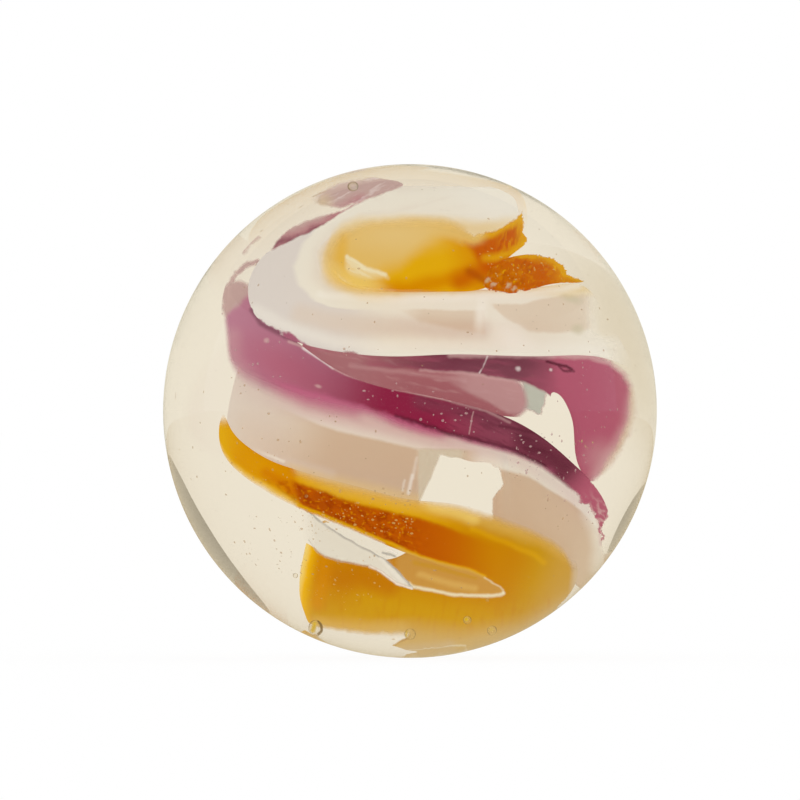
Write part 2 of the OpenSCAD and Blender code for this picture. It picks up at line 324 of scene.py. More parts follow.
class Paint(Tree):
    """One material, and the brushes that lay colour on a piece as it is seen from the front."""

    def __init__(self, name, ground, wobble=0.8):
        super().__init__(name)
        self.tone = (*ground, 1)
        self.cover = 1.0
        self.flat = self.node("ShaderNodeUVMap", {"uv_map": SEEN_MAP}).outputs[0]
        self.unsteady(wobble * WOBBLE_REACH, WOBBLE_FINENESS)

    def unsteady(self, amount, fineness):
        """Makes the edges of the next brush marks wander by an amount, the finer the more often."""
        drift = self.node(
            "ShaderNodeTexNoise",
            {"noise_dimensions": "3D"},
            {
                "Vector": self.flat,
                "Scale": fineness,
                "Detail": NOISE_DETAIL,
                "Roughness": NOISE_ROUGHNESS,
            },
        ).outputs["Color"]
        centred = self.vector("SUBTRACT", drift, (0.5, 0.5, 0.5))
        self.seen = self.vector("ADD", self.flat, self.vector("SCALE", centred, scale=amount * HUNDREDTH))

    def spot(self, at, size, turn=0, soft=0.5):
        """An oval brush mark: 1 inside, 0 outside, with its edge as soft as a share of its size."""
        placed = self.node(
            "ShaderNodeMapping",
            {"vector_type": "TEXTURE"},
            {
                "Vector": self.seen,
                "Location": (at[0] * HUNDREDTH, at[1] * HUNDREDTH, 0),
                "Rotation": (0, 0, math.radians(turn)),
                "Scale": (size[0] * HUNDREDTH, size[1] * HUNDREDTH, 1),
            },
        ).outputs[0]
        return self.smooth(self.vector("LENGTH", placed), 1 + soft, 1 - soft)

    def line(self, points, width, soft):
        """A brush stroke through some points: 1 to its half width, and 0 the softness further out."""
        nearest = None
        for (x0, y0), (x1, y1) in zip(points, points[1:]):
            start = Vector((x0, y0, 0)) * HUNDREDTH
            step = Vector((x1 - x0, y1 - y0, 0)) * HUNDREDTH
            away = self.vector("SUBTRACT", self.seen, start)
            share = self.vector("DOT_PRODUCT", away, step / step.length_squared)
            share = share.lower(1.0).higher(0.0)
            reach = self.vector("DISTANCE", away, self.vector("SCALE", step, scale=share))
            nearest = reach if nearest is None else nearest.lower(reach)
        return self.smooth(nearest, (width + soft) * HUNDREDTH, (width - min(soft, width)) * HUNDREDTH)

    def above(self, points, soft):
        """1 above a line that runs from left to right, 0 below it."""
        across, up = self.parts()
        return self.past(points, soft, across, up)

    def beside(self, points, soft):
        """1 to the right of a line that runs upwards, 0 to the left of it."""
        across, up = self.parts()
        return self.past([(y, x) for x, y in points], soft, up, across)

    def below(self, points, soft):
        """1 below a line that runs from left to right, 0 above it."""
        return 1 - self.above(points, soft)

    def left_of(self, points, soft):
        """1 to the left of a line that runs upwards, 0 to the right of it."""
        return 1 - self.beside(points, soft)

    def past(self, points, soft, along, away):
        """1 further away than a line, whose points are written along it and away from it."""
        first, last = points[0][0], points[-1][0]
        # A ramp holds 0 to 1, so the line's places from -100 to 100 are squeezed into that
        stops = [((a - first) / (last - first), (b + 100) / 200) for a, b in points]
        share = (along - first * HUNDREDTH) * (1 / ((last - first) * HUNDREDTH))
        ramp = self.node("ShaderNodeValToRGB", {"stops": stops}, {"Fac": share}).outputs["Color"]
        line = Value(self, self.node("ShaderNodeSeparateColor", {}, {"Color": ramp}).outputs["Red"])
        return self.smooth(away - (line * 2 - 1), -soft * HUNDREDTH, soft * HUNDREDTH)

    def parts(self):
        """How far across and how far up a point is seen."""
        split = self.node("ShaderNodeSeparateXYZ", {}, {"Vector": self.seen})
        return Value(self, split.outputs["X"]), Value(self, split.outputs["Y"])

    def fade(self, start, end):
        """0 before start and 1 after end, over the whole ribbon."""
        first = Vector((*start, 0)) * HUNDREDTH
        step = Vector((*end, 0)) * HUNDREDTH - first
        away = self.vector("SUBTRACT", self.seen, first)
        return self.smooth(self.vector("DOT_PRODUCT", away, step / step.length_squared), 0.0, 1.0)

    def across(self, start, end):
        """0 before start and 1 after end, going straight across."""
        return self.fade((start, 0), (end, 0))

    def streaks(self, turn, size, low=0.45, high=0.7, stretch=5, seed=0):
        """Long wisps that lie along the glass's flow."""
        laid = self.node(
            "ShaderNodeMapping",
            {"vector_type": "TEXTURE"},
            {
                "Vector": self.seen,
                "Location": (seed * SEED_STEP[0], seed * SEED_STEP[1], 0),
                "Rotation": (0, 0, math.radians(turn)),
                "Scale": (size * stretch * HUNDREDTH, size * HUNDREDTH, 1),
            },
        ).outputs[0]
        wisps = self.node("ShaderNodeTexNoise", {}, {"Vector": laid, "Scale": 1.0, "Detail": NOISE_DETAIL})
        return self.smooth(wisps.outputs[0], low, high)

    def lay(self, colour, mask, strength=1.0):
        """Colour laid over what is there."""
        made = self.node(
            "ShaderNodeMix",
            {"data_type": "RGBA"},
            {0: mask * strength, 6: self.tone, 7: (*colour, 1)},
        )
        self.tone = made.outputs[2]

    def stroke(self, colour, points, width, soft, strength=1.0):
        """Colour laid along a line."""
        self.lay(colour, self.line(points, width, soft), strength)

    def dab(self, colour, at, size, strength=1.0, turn=0, soft=0.5):
        """Colour laid on an oval."""
        self.lay(colour, self.spot(at, size, turn, soft), strength)

    def thin(self, mask, strength=1.0):
        """The ribbon thinned out, so that what is behind it shows."""
        self.cover = (1 - mask * strength) * self.cover

    def done(self):
        """The matt glass that the clear ball covers, lit by its surroundings and given a painted glow:
        emission of a share of its colour, in place of the light that shines through it.
        """
        tone = self.tone if isinstance(self.tone, bpy.types.NodeSocket) else self.tone[:3]
        shader = self.node(
            "ShaderNodeBsdfPrincipled",
            {},
            {
                "Base Color": self.vector("SCALE", tone, scale=1 - GLOW),
                "Emission Color": self.tone,
                "Emission Strength": GLOW,
                "Alpha": self.cover,
                "Roughness": 1.0,
                "Specular IOR Level": 0.0,
            },
        )
        return self.surface(shader)


# Mesh building
SIGHT_STEPS = 40
RIM_SHARE = 0.9999
SMALLEST_SHARE = 1e-9
MERGE_DISTANCE = BALL_RADIUS * 1e-5
QUAD_LIMIT = math.radians(60)
ROUNDING_LEVELS = 2


def only(piece):
    """Makes one piece the selected and active one."""
    bpy.ops.object.select_all(action="DESELECT")
    piece.select_set(True)
    bpy.context.view_layer.objects.active = piece


def seen_shares(points):
    """Where points inside the ball are seen from the front, across and up, as shares of its radius."""
    index = bpy.context.scene.marble_clear.index
    wide = np.hypot(points[:, 0], points[:, 2]) / BALL_RADIUS
    deep = points[:, 1] / BALL_RADIUS
    low, high = np.zeros(len(points)), np.full(len(points), RIM_SHARE)
    for _ in range(SIGHT_STEPS):
        middle = (low + high) / 2
        front = np.sqrt(1 - middle**2)
        bend = front / index - np.sqrt(1 - (middle / index) ** 2)
        run = (deep + front) / (1 / index - bend * front)
        short = middle * (1 + bend * run) < wide
        low, high = np.where(short, middle, low), np.where(short, high, middle)
    spread = np.where(wide > 0, low / np.maximum(wide, SMALLEST_SHARE), 0) / BALL_RADIUS
    return np.stack([points[:, 0] * spread, points[:, 2] * spread], axis=1)


def place(across, up, depth):
    """The point inside the ball, seen at across and up, at a depth from its front skin to its back."""
    index = bpy.context.scene.marble_clear.index
    front = math.sqrt(1 - across**2 - up**2)
    bent = math.sqrt(1 - (across**2 + up**2) / index**2)
    skin = Vector((across, -front, up))
    sight = skin * (front / index - bent) + Vector((0, 1 / index, 0))
    return (skin + sight * 2 * bent * depth) * BALL_RADIUS


def keep_seen_places(mesh):
    """Keeps on a mesh where each of its points is seen from the front, for painting."""
    for layer in list(mesh.uv_layers):
        mesh.uv_layers.remove(layer)
    points = np.empty(len(mesh.vertices) * 3)
    mesh.vertices.foreach_get("co", points)
    corners = np.empty(len(mesh.loops), dtype=np.int32)
    mesh.loops.foreach_get("vertex_index", corners)
    seen = seen_shares(points.reshape(-1, 3))[corners]
    mesh.uv_layers.new(name=SEEN_MAP).data.foreach_set("uv", seen.ravel())


def ribbon(node, material, name):
    """A smooth ribbon from the solid of its node, ready for painting."""
    piece = bpy.data.objects.new(name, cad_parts[node].data.copy())
    bpy.context.scene.collection.objects.link(piece)
    only(piece)
    bpy.ops.object.mode_set(mode="EDIT")
    bpy.ops.mesh.select_all(action="SELECT")
    bpy.ops.mesh.customdata_custom_splitnormals_clear()
    bpy.ops.mesh.remove_doubles(threshold=MERGE_DISTANCE)
    bpy.ops.mesh.tris_convert_to_quads(face_threshold=QUAD_LIMIT, shape_threshold=QUAD_LIMIT)
    bpy.ops.object.mode_set(mode="OBJECT")
    rounding = piece.modifiers.new("rounding", "SUBSURF")
    rounding.levels = rounding.render_levels = ROUNDING_LEVELS
    bpy.ops.object.modifier_apply(modifier=rounding.name)
    bpy.ops.object.shade_smooth()
    keep_seen_places(piece.data)
    piece.data.materials.clear()
    piece.data.materials.append(material)
    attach(piece, "root")
    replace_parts(piece, node)
    return piece


# White glass
def upper_white_paint(tones):
    """White with a mauve outer turn at the left and two beige folds along the front, their recesses in
    painted shade.
    """
    paint = Paint("upper white glass", tones.white, wobble=0.5)
    crease = [(-20, 40.5), (-29, 41.2), (-38, 44), (-45, 51), (-47, 58), (-43, 68), (-38, 74)]
    turned = 1 - paint.beside(crease, 1.6) * paint.above([(-50, 41), (30, 40.5)], 1)
    paint.lay(tones.mauve, turned * paint.across(-6, -30), 0.95)
    # Painted shade: cream along the recess between the white's two lips
    paint.stroke(tones.cream, [(-44, 39), (-32, 36), (-18, 34.5), (4, 34), (28, 33)], 4, 3, 0.85)
    paint.stroke(tones.cream, [(-30, 72), (-36, 64), (-37, 55), (-30, 48)], 2, 4, 0.35)
    # Painted shade: beige in the recesses of the two folds between the white's lips
    left_fold = (
        paint.above([(-5, 41), (4, 36), (18, 33), (31, 31)], 1.2)
        * paint.below([(-5, 41), (31, 40.5)], 0.8)
    )
    paint.lay(tones.beige, left_fold * paint.across(31, 29) * paint.across(-10, 8), 0.55)
    right_fold = paint.above([(32, 43), (38, 38), (48, 32), (61, 31.5), (72, 33)], 1)
    right_fold = right_fold * paint.below([(32, 43), (45, 43), (62, 47), (72, 47)], 0.8)
    paint.lay(tones.beige, right_fold * paint.across(76, 70) * paint.across(31, 35), 0.55)
    paint.dab(tones.grey, (65, 45.5), (4, 1.6), 0.8, turn=-15, soft=0.7)
    paint.dab(tones.grey, (67.5, 33), (2.4, 2), 0.8, soft=0.7)
    yolk = [
        (-36, 60), (-34, 66), (-32, 71), (-28, 75.3), (-20, 78.5), (-4, 79), (12, 78.5), (28, 76.5),
        (44, 79),
    ]
    straw = (
        paint.below(yolk, 2.6)
        * paint.above([(-40, 55), (-30, 49.5), (-20, 45.4), (-8, 46.4), (30, 47)], 2.2)
    )
    paint.lay(tones.straw, straw * paint.across(-37.5, -32.5), 0.8)
    paint.stroke(tones.straw, [(-30, 55), (-24, 49.6), (-16, 47.4), (-6, 48)], 1.6, 3.4, 0.8)
    paint.stroke(
        tones.gleam, [(-36, 47), (-20, 45.5), (-4, 45), (28, 46), (50, 47.5), (68, 50.5)], 0.8, 2, 0.6
    )
    lip = [(-62, 41), (-52, 35), (-44, 32), (-30, 28), (-12, 25.5), (10, 26), (40, 26), (70, 25), (84, 21)]
    paint.stroke(tones.gleam, lip, 1.2, 3.2, 0.45)
    paint.dab(tones.gleam, (41, 29), (7, 4.5), 0.95, turn=-35, soft=1)
    paint.dab(tones.gleam, (28.5, 39), (2, 6.5), 0.75, turn=-6, soft=0.9)
    paint.stroke(tones.cream, [(-4, 92), (10, 94), (22, 95)], 2, 4, 0.4)
    paint.dab(tones.gleam, (34, 86), (16, 7), 0.6, turn=-18, soft=0.9)
    paint.lay(
        tones.cream,
        paint.streaks(12, 3.5, low=0.5, high=0.8, seed=2)
        * paint.above([(-40, 68), (50, 70)], 4)
        * paint.across(30, 10),
        0.3,
    )
    left_rim = [
        (-70, 60), (-60, 63), (-45, 70.3), (-41, 72.3), (-35, 75.4), (-28, 80), (-20, 84.5), (-3, 91),
    ]
    paint.thin(paint.above(left_rim, 0.7))
    paint.thin(paint.fade((70, 26), (91, 17)))
    paint.thin(paint.across(66, 78) * paint.above([(60, 31), (95, 28)], 3))
    paint.unsteady(5, 13)
    low = [
        (-66.5, 51), (-65, 46), (-62, 38.5), (-58, 35), (-53, 32.6), (-48, 31.4), (-45, 29), (-40.5, 26.2),
        (-34, 24.6), (-26.8, 23.6), (-16, 22.4), (-5, 22.4), (4, 23.2), (60, 22.4),
    ]
    under = paint.below(low, 0.7)
    covered = paint.across(-53, -50) * paint.across(-40, -43)
    paint.lay(tones.shadow, under * covered)
    paint.thin(under * (1 - covered) * paint.across(-8, -26))
    return paint.done()


def lower_white_paint(tones):
    """Pink beside the purple, then white, then beige where the glass is thin and the folds' recesses lie in
    painted shade.
    """
    paint = Paint("lower white glass", tones.white, wobble=0.3)
    rim = [(-68, 11), (-56, 6), (-42, 2), (-29, -1), (-7, -6), (16, -12), (42, -19), (57, -28), (66, -36)]
    paint.lay(tones.pink, paint.line(rim, 3, 6) * paint.across(44, 8), 0.95)
    paint.stroke(tones.pink, rim, 1.6, 3, 0.4)
    paint.lay(tones.cream, paint.fade((-34, 0), (-62, -4)), 0.9)
    paint.lay(tones.white, paint.fade((36, -22), (60, -36)), 0.5)
    left_fold = paint.below([(-58, 3), (-52, 1), (-38, -5), (-29, -8), (-16, -11), (4, -15.5)], 1)
    # Beige in the left fold: the thin glass's colour with painted shade in its recess
    paint.lay(tones.beige, left_fold * paint.fade((-66, -6), (-30, -18)) * paint.across(30, 20), 0.95)
    paint.stroke(tones.cream, [(-68, -12), (-59, -17.5), (-45, -22), (-32, -25.5)], 1, 2.5, 0.6)
    paint.stroke(tones.straw, [(-48, -25), (-36, -28), (-20, -31.5), (0, -36), (10, -38)], 1.5, 4, 0.75)
    paint.stroke(tones.straw, [(30, -43), (44, -47), (54, -51), (61, -56)], 1.5, 5, 0.6)
    paint.lay(
        tones.gleam,
        paint.line([(-65, -14.6), (-58, -17.6), (-51, -20.4)], 0.1, 1.1) * paint.across(-66, -53),
        0.75,
    )
    paint.lay(tones.grey, paint.across(3, 4) * paint.across(24, 18) * left_fold, 0.7)
    paint.stroke(tones.gleam, [(2.6, -19), (1.2, -27)], 0.3, 0.9, 0.45)
    paint.stroke(tones.gleam, [(0.9, -26), (-0.6, -33)], 0.5, 0.8, 0.8)
    paint.stroke(tones.gleam, [(-2.2, -28), (-3, -32)], 0.2, 0.7, 0.5)
    right_top = [(30, -22), (36, -23.5), (48, -26.5), (57, -32), (65, -37), (72, -43), (77, -49)]
    right_fold = paint.below(right_top, 1)
    # Beige in the right fold: the thin glass's colour with painted shade in its recess
    paint.lay(tones.beige, right_fold * paint.across(28, 32), 0.95)
    paint.stroke(tones.white, [(73, -41), (76.5, -48), (78, -56), (77, -64)], 1.5, 5, 0.75)
    paint.stroke(tones.pink, [(75, -40), (77, -46), (78, -54)], 0.3, 1.6, 0.6)
    paint.thin(paint.across(24, 20) * paint.across(1.5, 4) * left_fold, 0.45)
    end = [(78.6, -66), (78.6, -60), (78, -53), (76.8, -46), (74.6, -39), (70, -33)]
    paint.thin(paint.beside(end, 0.6) * paint.across(66, 69))
    window = paint.below([(6, -16), (12.6, -17.6), (22.7, -20.2), (35.6, -22.6), (44, -25)], 0.5)
    window = window * paint.beside([(3, -38), (6, -32), (9.6, -24), (13, -16)], 0.6)
    paint.unsteady(3, 22)
    window_right = [(32, -50), (33, -44), (33.6, -36), (37.9, -29.5), (36.6, -25), (35.4, -20)]
    paint.thin(window * paint.left_of(window_right, 0.5))
    return paint.done()


class MARBLE_OT_white_ribbons(bpy.types.Operator):
    """Adds the two opal white ribbons"""

    bl_idname = "marble.white_ribbons"
    bl_label = "White ribbons"

    def execute(self, context):
        tones = context.scene.marble_white
        ribbon("upper_white_ribbon", upper_white_paint(tones), "upper_white_glass")
        ribbon("lower_white_ribbon", lower_white_paint(tones), "lower_white_glass")
        return {"FINISHED"}


# Purple glass
def upper_purple_paint(tones):
    """A dark band along the top, a see-through film under it and a rose lobe at the right."""
    paint = Paint("upper purple glass", tones.film, wobble=0.5)
    paint.lay(tones.blush, paint.streaks(-14, 2, low=0.5, high=0.8, seed=1), 0.35)
    paint.lay(tones.blush, paint.across(8, -28), 0.2)
    paint.stroke(tones.blush, [(-24, 18.5), (-10, 16.6), (6, 14.6), (22, 12.4)], 0.5, 1.2, 0.3)
    tongue = (
        paint.above([(10, 15), (14, 12.5), (20, 9), (30, 4.2), (38, 0), (45, -2)], 1.2)
        * paint.fade((12, 14), (26, 10))
    )
    paint.lay(tones.blush, tongue, 0.55)
    edge = [
        (-45, 25), (-26, 19), (-10, 17.5), (4, 17), (16, 16), (29, 15), (45, 12), (54, 8), (61, 3), (66, -4),
        (68, -20),
    ]
    band = paint.above(edge, 0.9)
    paint.lay(tones.dark, band * paint.across(-30, 16), 0.95)
    paint.lay(tones.rose, paint.streaks(-8, 2.4, low=0.48, high=0.66, stretch=6, seed=12) * band, 0.3)
    paint.stroke(tones.wine, [(18, 21), (40, 20), (58, 18)], 0.5, 4, 0.2)
    paint.stroke(
        tones.blush, [(4, 16.6), (16, 15.6), (29, 14.4), (45, 11.4), (54, 7.4), (60, 2.5)], 0.3, 0.8, 0.5
    )
    paint.lay(tones.rose, band * paint.fade((44, 19), (66, 8)))
    paint.lay(tones.rose, paint.fade((60, -4), (65, -3)))
    paint.stroke(tones.blush, [(16, 22.6), (45, 22.6), (72, 22), (81, 19.5), (88, 14)], 0.3, 1.7, 0.7)
    paint.stroke(tones.blush, [(92, 6), (89, -6), (85, -14), (76, -27)], 1, 5, 0.6)
    paint.stroke(tones.brown, [(91, 8), (90.5, -3), (86, -14), (79, -25)], 0.6, 2.5, 0.7)
    paint.dab(tones.blush, (77, -19), (6, 6), 0.35, soft=0.9)
    paint.stroke(tones.wine, [(55, 20), (60, 18.6), (63, 18.2), (65, 16.8)], 0.3, 0.8, 0.85)
    paint.stroke(tones.wine, [(60, 18), (62, 16.4), (66, 16)], 0.2, 0.8, 0.7)
    paint.stroke(tones.gleam, [(31.2, 21.9), (29.5, 18.5), (27.8, 15.4)], 0.15, 0.5, 0.6)
    paint.dab(tones.gleam, (43.6, 17.2), (0.9, 0.8), 0.6, soft=0.8)
    paint.dab(tones.gleam, (56.7, 16.6), (0.6, 0.6), 0.6, soft=0.8)
    film_end = paint.spot((36, 7), (12, 8.5), turn=-30, soft=0.16)
    paint.unsteady(4, 18)
    grey_bit = paint.beside([(45.5, -2), (45.5, 11)], 1.4) * paint.left_of([(52.4, -2), (55.8, 10)], 0.7)
    grey_bit = grey_bit * paint.above([(46, 1), (53, -1)], 0.8)
    paint.lay(tones.grey, grey_bit * (1 - band) * (1 - film_end))
    paint.thin(paint.across(40, 41) * (1 - film_end.higher(grey_bit)) * (1 - band) * paint.across(60, 58))
    paint.thin(grey_bit * (1 - film_end) * (1 - band), 0.35)
    lobe = [
        (68, -32), (74, -28), (78.6, -24), (84, -16), (87, -10), (89.4, -2), (89.8, 5), (88.6, 10),
        (86, 14.6), (82, 18.6), (74, 23),
    ]
    paint.thin(paint.beside(lobe, 3.4))
    return paint.done()


def lower_purple_paint(tones):
    """Mauve at the left, crimson down the front, thinned out over the white along its lower edge."""
    paint = Paint("lower purple glass", tones.purple, wobble=0.3)
    # Painted highlight: a soft pale streak down the purple's left end
    paint.stroke(tones.blush, [(-72, 30), (-71, 20), (-64, 12)], 0.5, 6, 0.35)
    paint.dab(tones.rose, (-50, 17), (18, 8), 0.6, turn=-28, soft=0.9)
    paint.lay(tones.crimson, paint.fade((-58, 17), (-8, 3)))
    # Painted shadow: a dark wine line just under the white's lower edge
    paint.stroke(
        tones.wine, [(-64, 41), (-60, 35.4), (-52, 31), (-46, 28.6), (-40, 25), (-34, 23)], 0.4, 1.6, 0.55
    )
    paint.stroke(tones.dark, [(4, 4), (25, -1), (38, -6), (50, -11)], 2, 4, 0.6)
    paint.lay(tones.dark, paint.fade((8, -5), (34, -12)), 0.85)
    paint.stroke(tones.rose, [(18, -5), (28, -7), (38, -11)], 1.5, 4, 0.2)
    paint.lay(
        tones.wine,
        paint.streaks(-24, 2, low=0.5, high=0.66, stretch=5, seed=13) * paint.across(-14, 20),
        0.3,
    )
    paint.stroke(tones.wine, [(46, -12), (56, -18), (64, -24)], 2, 5, 0.5)
    paint.lay(tones.rose, paint.fade((61, -24), (72, -33)))
    paint.lay(
        tones.blush,
        paint.streaks(-50, 1.6, low=0.45, high=0.62, stretch=2, seed=14) * paint.fade((68, -32), (77, -44)),
        0.7,
    )
    paint.stroke(tones.wine, [(36, -6), (51, -9), (60, -15), (68, -22), (74, -28)], 0.3, 1, 0.5)
    paint.stroke(tones.blush, [(16, 4.2), (30, 0.2), (40, -4.5)], 0.3, 0.8, 0.4)
    paint.stroke(tones.blush, [(25.5, -0.2), (23.6, -8.9)], 0.1, 0.4, 0.5)
    paint.dab(tones.blush, (-37, 10), (1.3, 0.7), 0.6, turn=-20, soft=0.6)
    paint.dab(tones.blush, (-58, 28.6), (1, 1), 0.7, soft=0.6)
    paint.unsteady(3, 20)
    paint.stroke(
        tones.wine, [(-6, -2), (4, -5), (18, -9.5), (29, -12.4), (42, -16.2), (54, -22)], 0.5, 1.1, 0.75
    )
    thinning = [
        (-60, 14.5), (-50, 11), (-42, 8.4), (-32, 5.6), (-20, 2.4), (-7, -2.2), (4, -6), (18, -10.4),
        (29, -13.2), (42, -17), (54, -23),
    ]
    paint.lay(tones.magenta, paint.below(thinning, 1.6) * paint.across(-62, -48) * paint.across(60, 52), 0.9)
    far = paint.above([(-82, 33), (-74, 39), (-66, 46.5), (-58, 53), (0, 54)], 1.8)
    paint.lay(tones.mauve, far)
    low_rim = [
        (-57, 66), (-54, 68.7), (-46, 69.8), (-41.5, 72), (-39, 74), (-34.5, 75.6), (-28, 80.5), (-20, 85),
    ]
    paint.stroke(tones.rose, low_rim, 1.5, 4, 0.6)
    paint.stroke(tones.dark, low_rim[:6], 0.5, 1.8, 0.7)
    paint.lay(
        tones.gleam,
        paint.streaks(28, 1.6, low=0.52, high=0.66, seed=5)
        * paint.above([(-40, 80), (-20, 84), (0, 90)], 2),
        0.4,
    )
    lens_top = [
        (-58, 65), (-56, 66.8), (-54, 69.2), (-48.7, 74.2), (-42.3, 77.6), (-34, 79.8), (-28, 81.6),
        (-20, 86),
    ]
    lens_low = [(-58, 64), (-50, 66), (-40, 71), (-30, 77), (-20, 84)]
    lens = paint.below(lens_top, 0.8) * paint.above(lens_low, 1) * paint.across(-57, -55)
    band = (
        paint.above([(-41, 86), (-36, 84.5), (-29, 83.5), (-20, 86), (-3, 91)], 1)
        * paint.across(-41, -35)
    )
    band = band * paint.below([(-40, 88), (-29, 93), (-16, 96), (-7, 95), (0, 92)], 1.2)
    paint.dab(tones.brown, (-36, 85), (4, 3), 0.8, turn=30, soft=0.9)
    blob = paint.spot((-70, 46.5), (6.2, 6), turn=30, soft=0.25)
    blob = blob.higher(paint.spot((-72, 41.5), (4.4, 4.6), soft=0.3))
    wisp = paint.line([(-72.5, 51.6), (-70.6, 55.7), (-66.7, 59.1), (-62, 61)], 0.7, 0.9)
    faint = paint.line([(-67.5, 64.3), (-64.6, 67.7), (-61.3, 70.2)], 0.5, 0.9) * 0.5
    shown = lens.higher(band).higher(blob).higher(wisp).higher(faint)
    paint.thin(far * (1 - shown), 0.98)
    paint.thin(far, 0.1)
    paint.unsteady(0.6, 14)
    left_edge = [
        (-78, 26), (-72, 19), (-66, 14.5), (-59, 11.2), (-51, 7.8), (-42, 4.4), (-32, 2), (-20, -0.6),
        (-7, -4),
    ]
    paint.thin(paint.below(left_edge, 5.4) * paint.across(-4, -16))
    right_edge = [
        (-24, 0.4), (-12, -3), (4, -8), (18, -11), (29, -13.4), (42, -17), (53, -22), (60, -27), (66, -32),
        (72, -39),
    ]
    paint.thin(paint.below(right_edge, 3.2) * paint.across(-24, -17) * paint.across(26, 18))
    paint.thin(paint.below(right_edge, 1.8) * paint.across(10, 17) * paint.across(70, 64))
    far_left = [(-66, 8), (-70, 13), (-72.6, 21), (-73.4, 30), (-74.2, 38), (-77, 44), (-80, 60)]
    paint.thin(paint.left_of(far_left, 1.8))
    # Painted highlight: a bright line along the fold, gleam in the middle fading to blush at both ends
    paint.stroke(tones.blush, [(-49, 28), (-45, 26.6), (-42, 25)], 0.2, 0.8, 0.8)
    paint.stroke(tones.gleam, [(-43, 25.4), (-36, 21), (-31, 17.5)], 0.3, 0.9, 0.9)
    paint.stroke(tones.blush, [(-31, 17.5), (-26, 15), (-17, 12), (-6, 9), (4, 7), (16, 4.5)], 0.3, 0.9, 0.8)
    paint.unsteady(6, 26)
    tail = [(56, -25), (60, -28), (66, -33), (71, -37.4), (74.9, -41), (76.5, -46), (77.4, -52)]
    paint.thin(paint.below(tail, 1.2) * paint.across(58, 63))
    far_right = [(78, -54), (77.4, -48.5), (79, -44), (80, -39.6), (78, -33.2), (73.3, -28.6), (69, -23)]
    paint.thin(paint.beside(far_right, 0.6) * paint.across(66, 69))
    return paint.done()


class MARBLE_OT_purple_ribbons(bpy.types.Operator):
    """Adds the two purple ribbons"""

    bl_idname = "marble.purple_ribbons"
    bl_label = "Purple ribbons"

    def execute(self, context):
        tones = context.scene.marble_purple
        ribbon("upper_purple_ribbon", upper_purple_paint(tones), "upper_purple_glass")
        ribbon("lower_purple_ribbon", lower_purple_paint(tones), "lower_purple_glass")
        return {"FINISHED"}


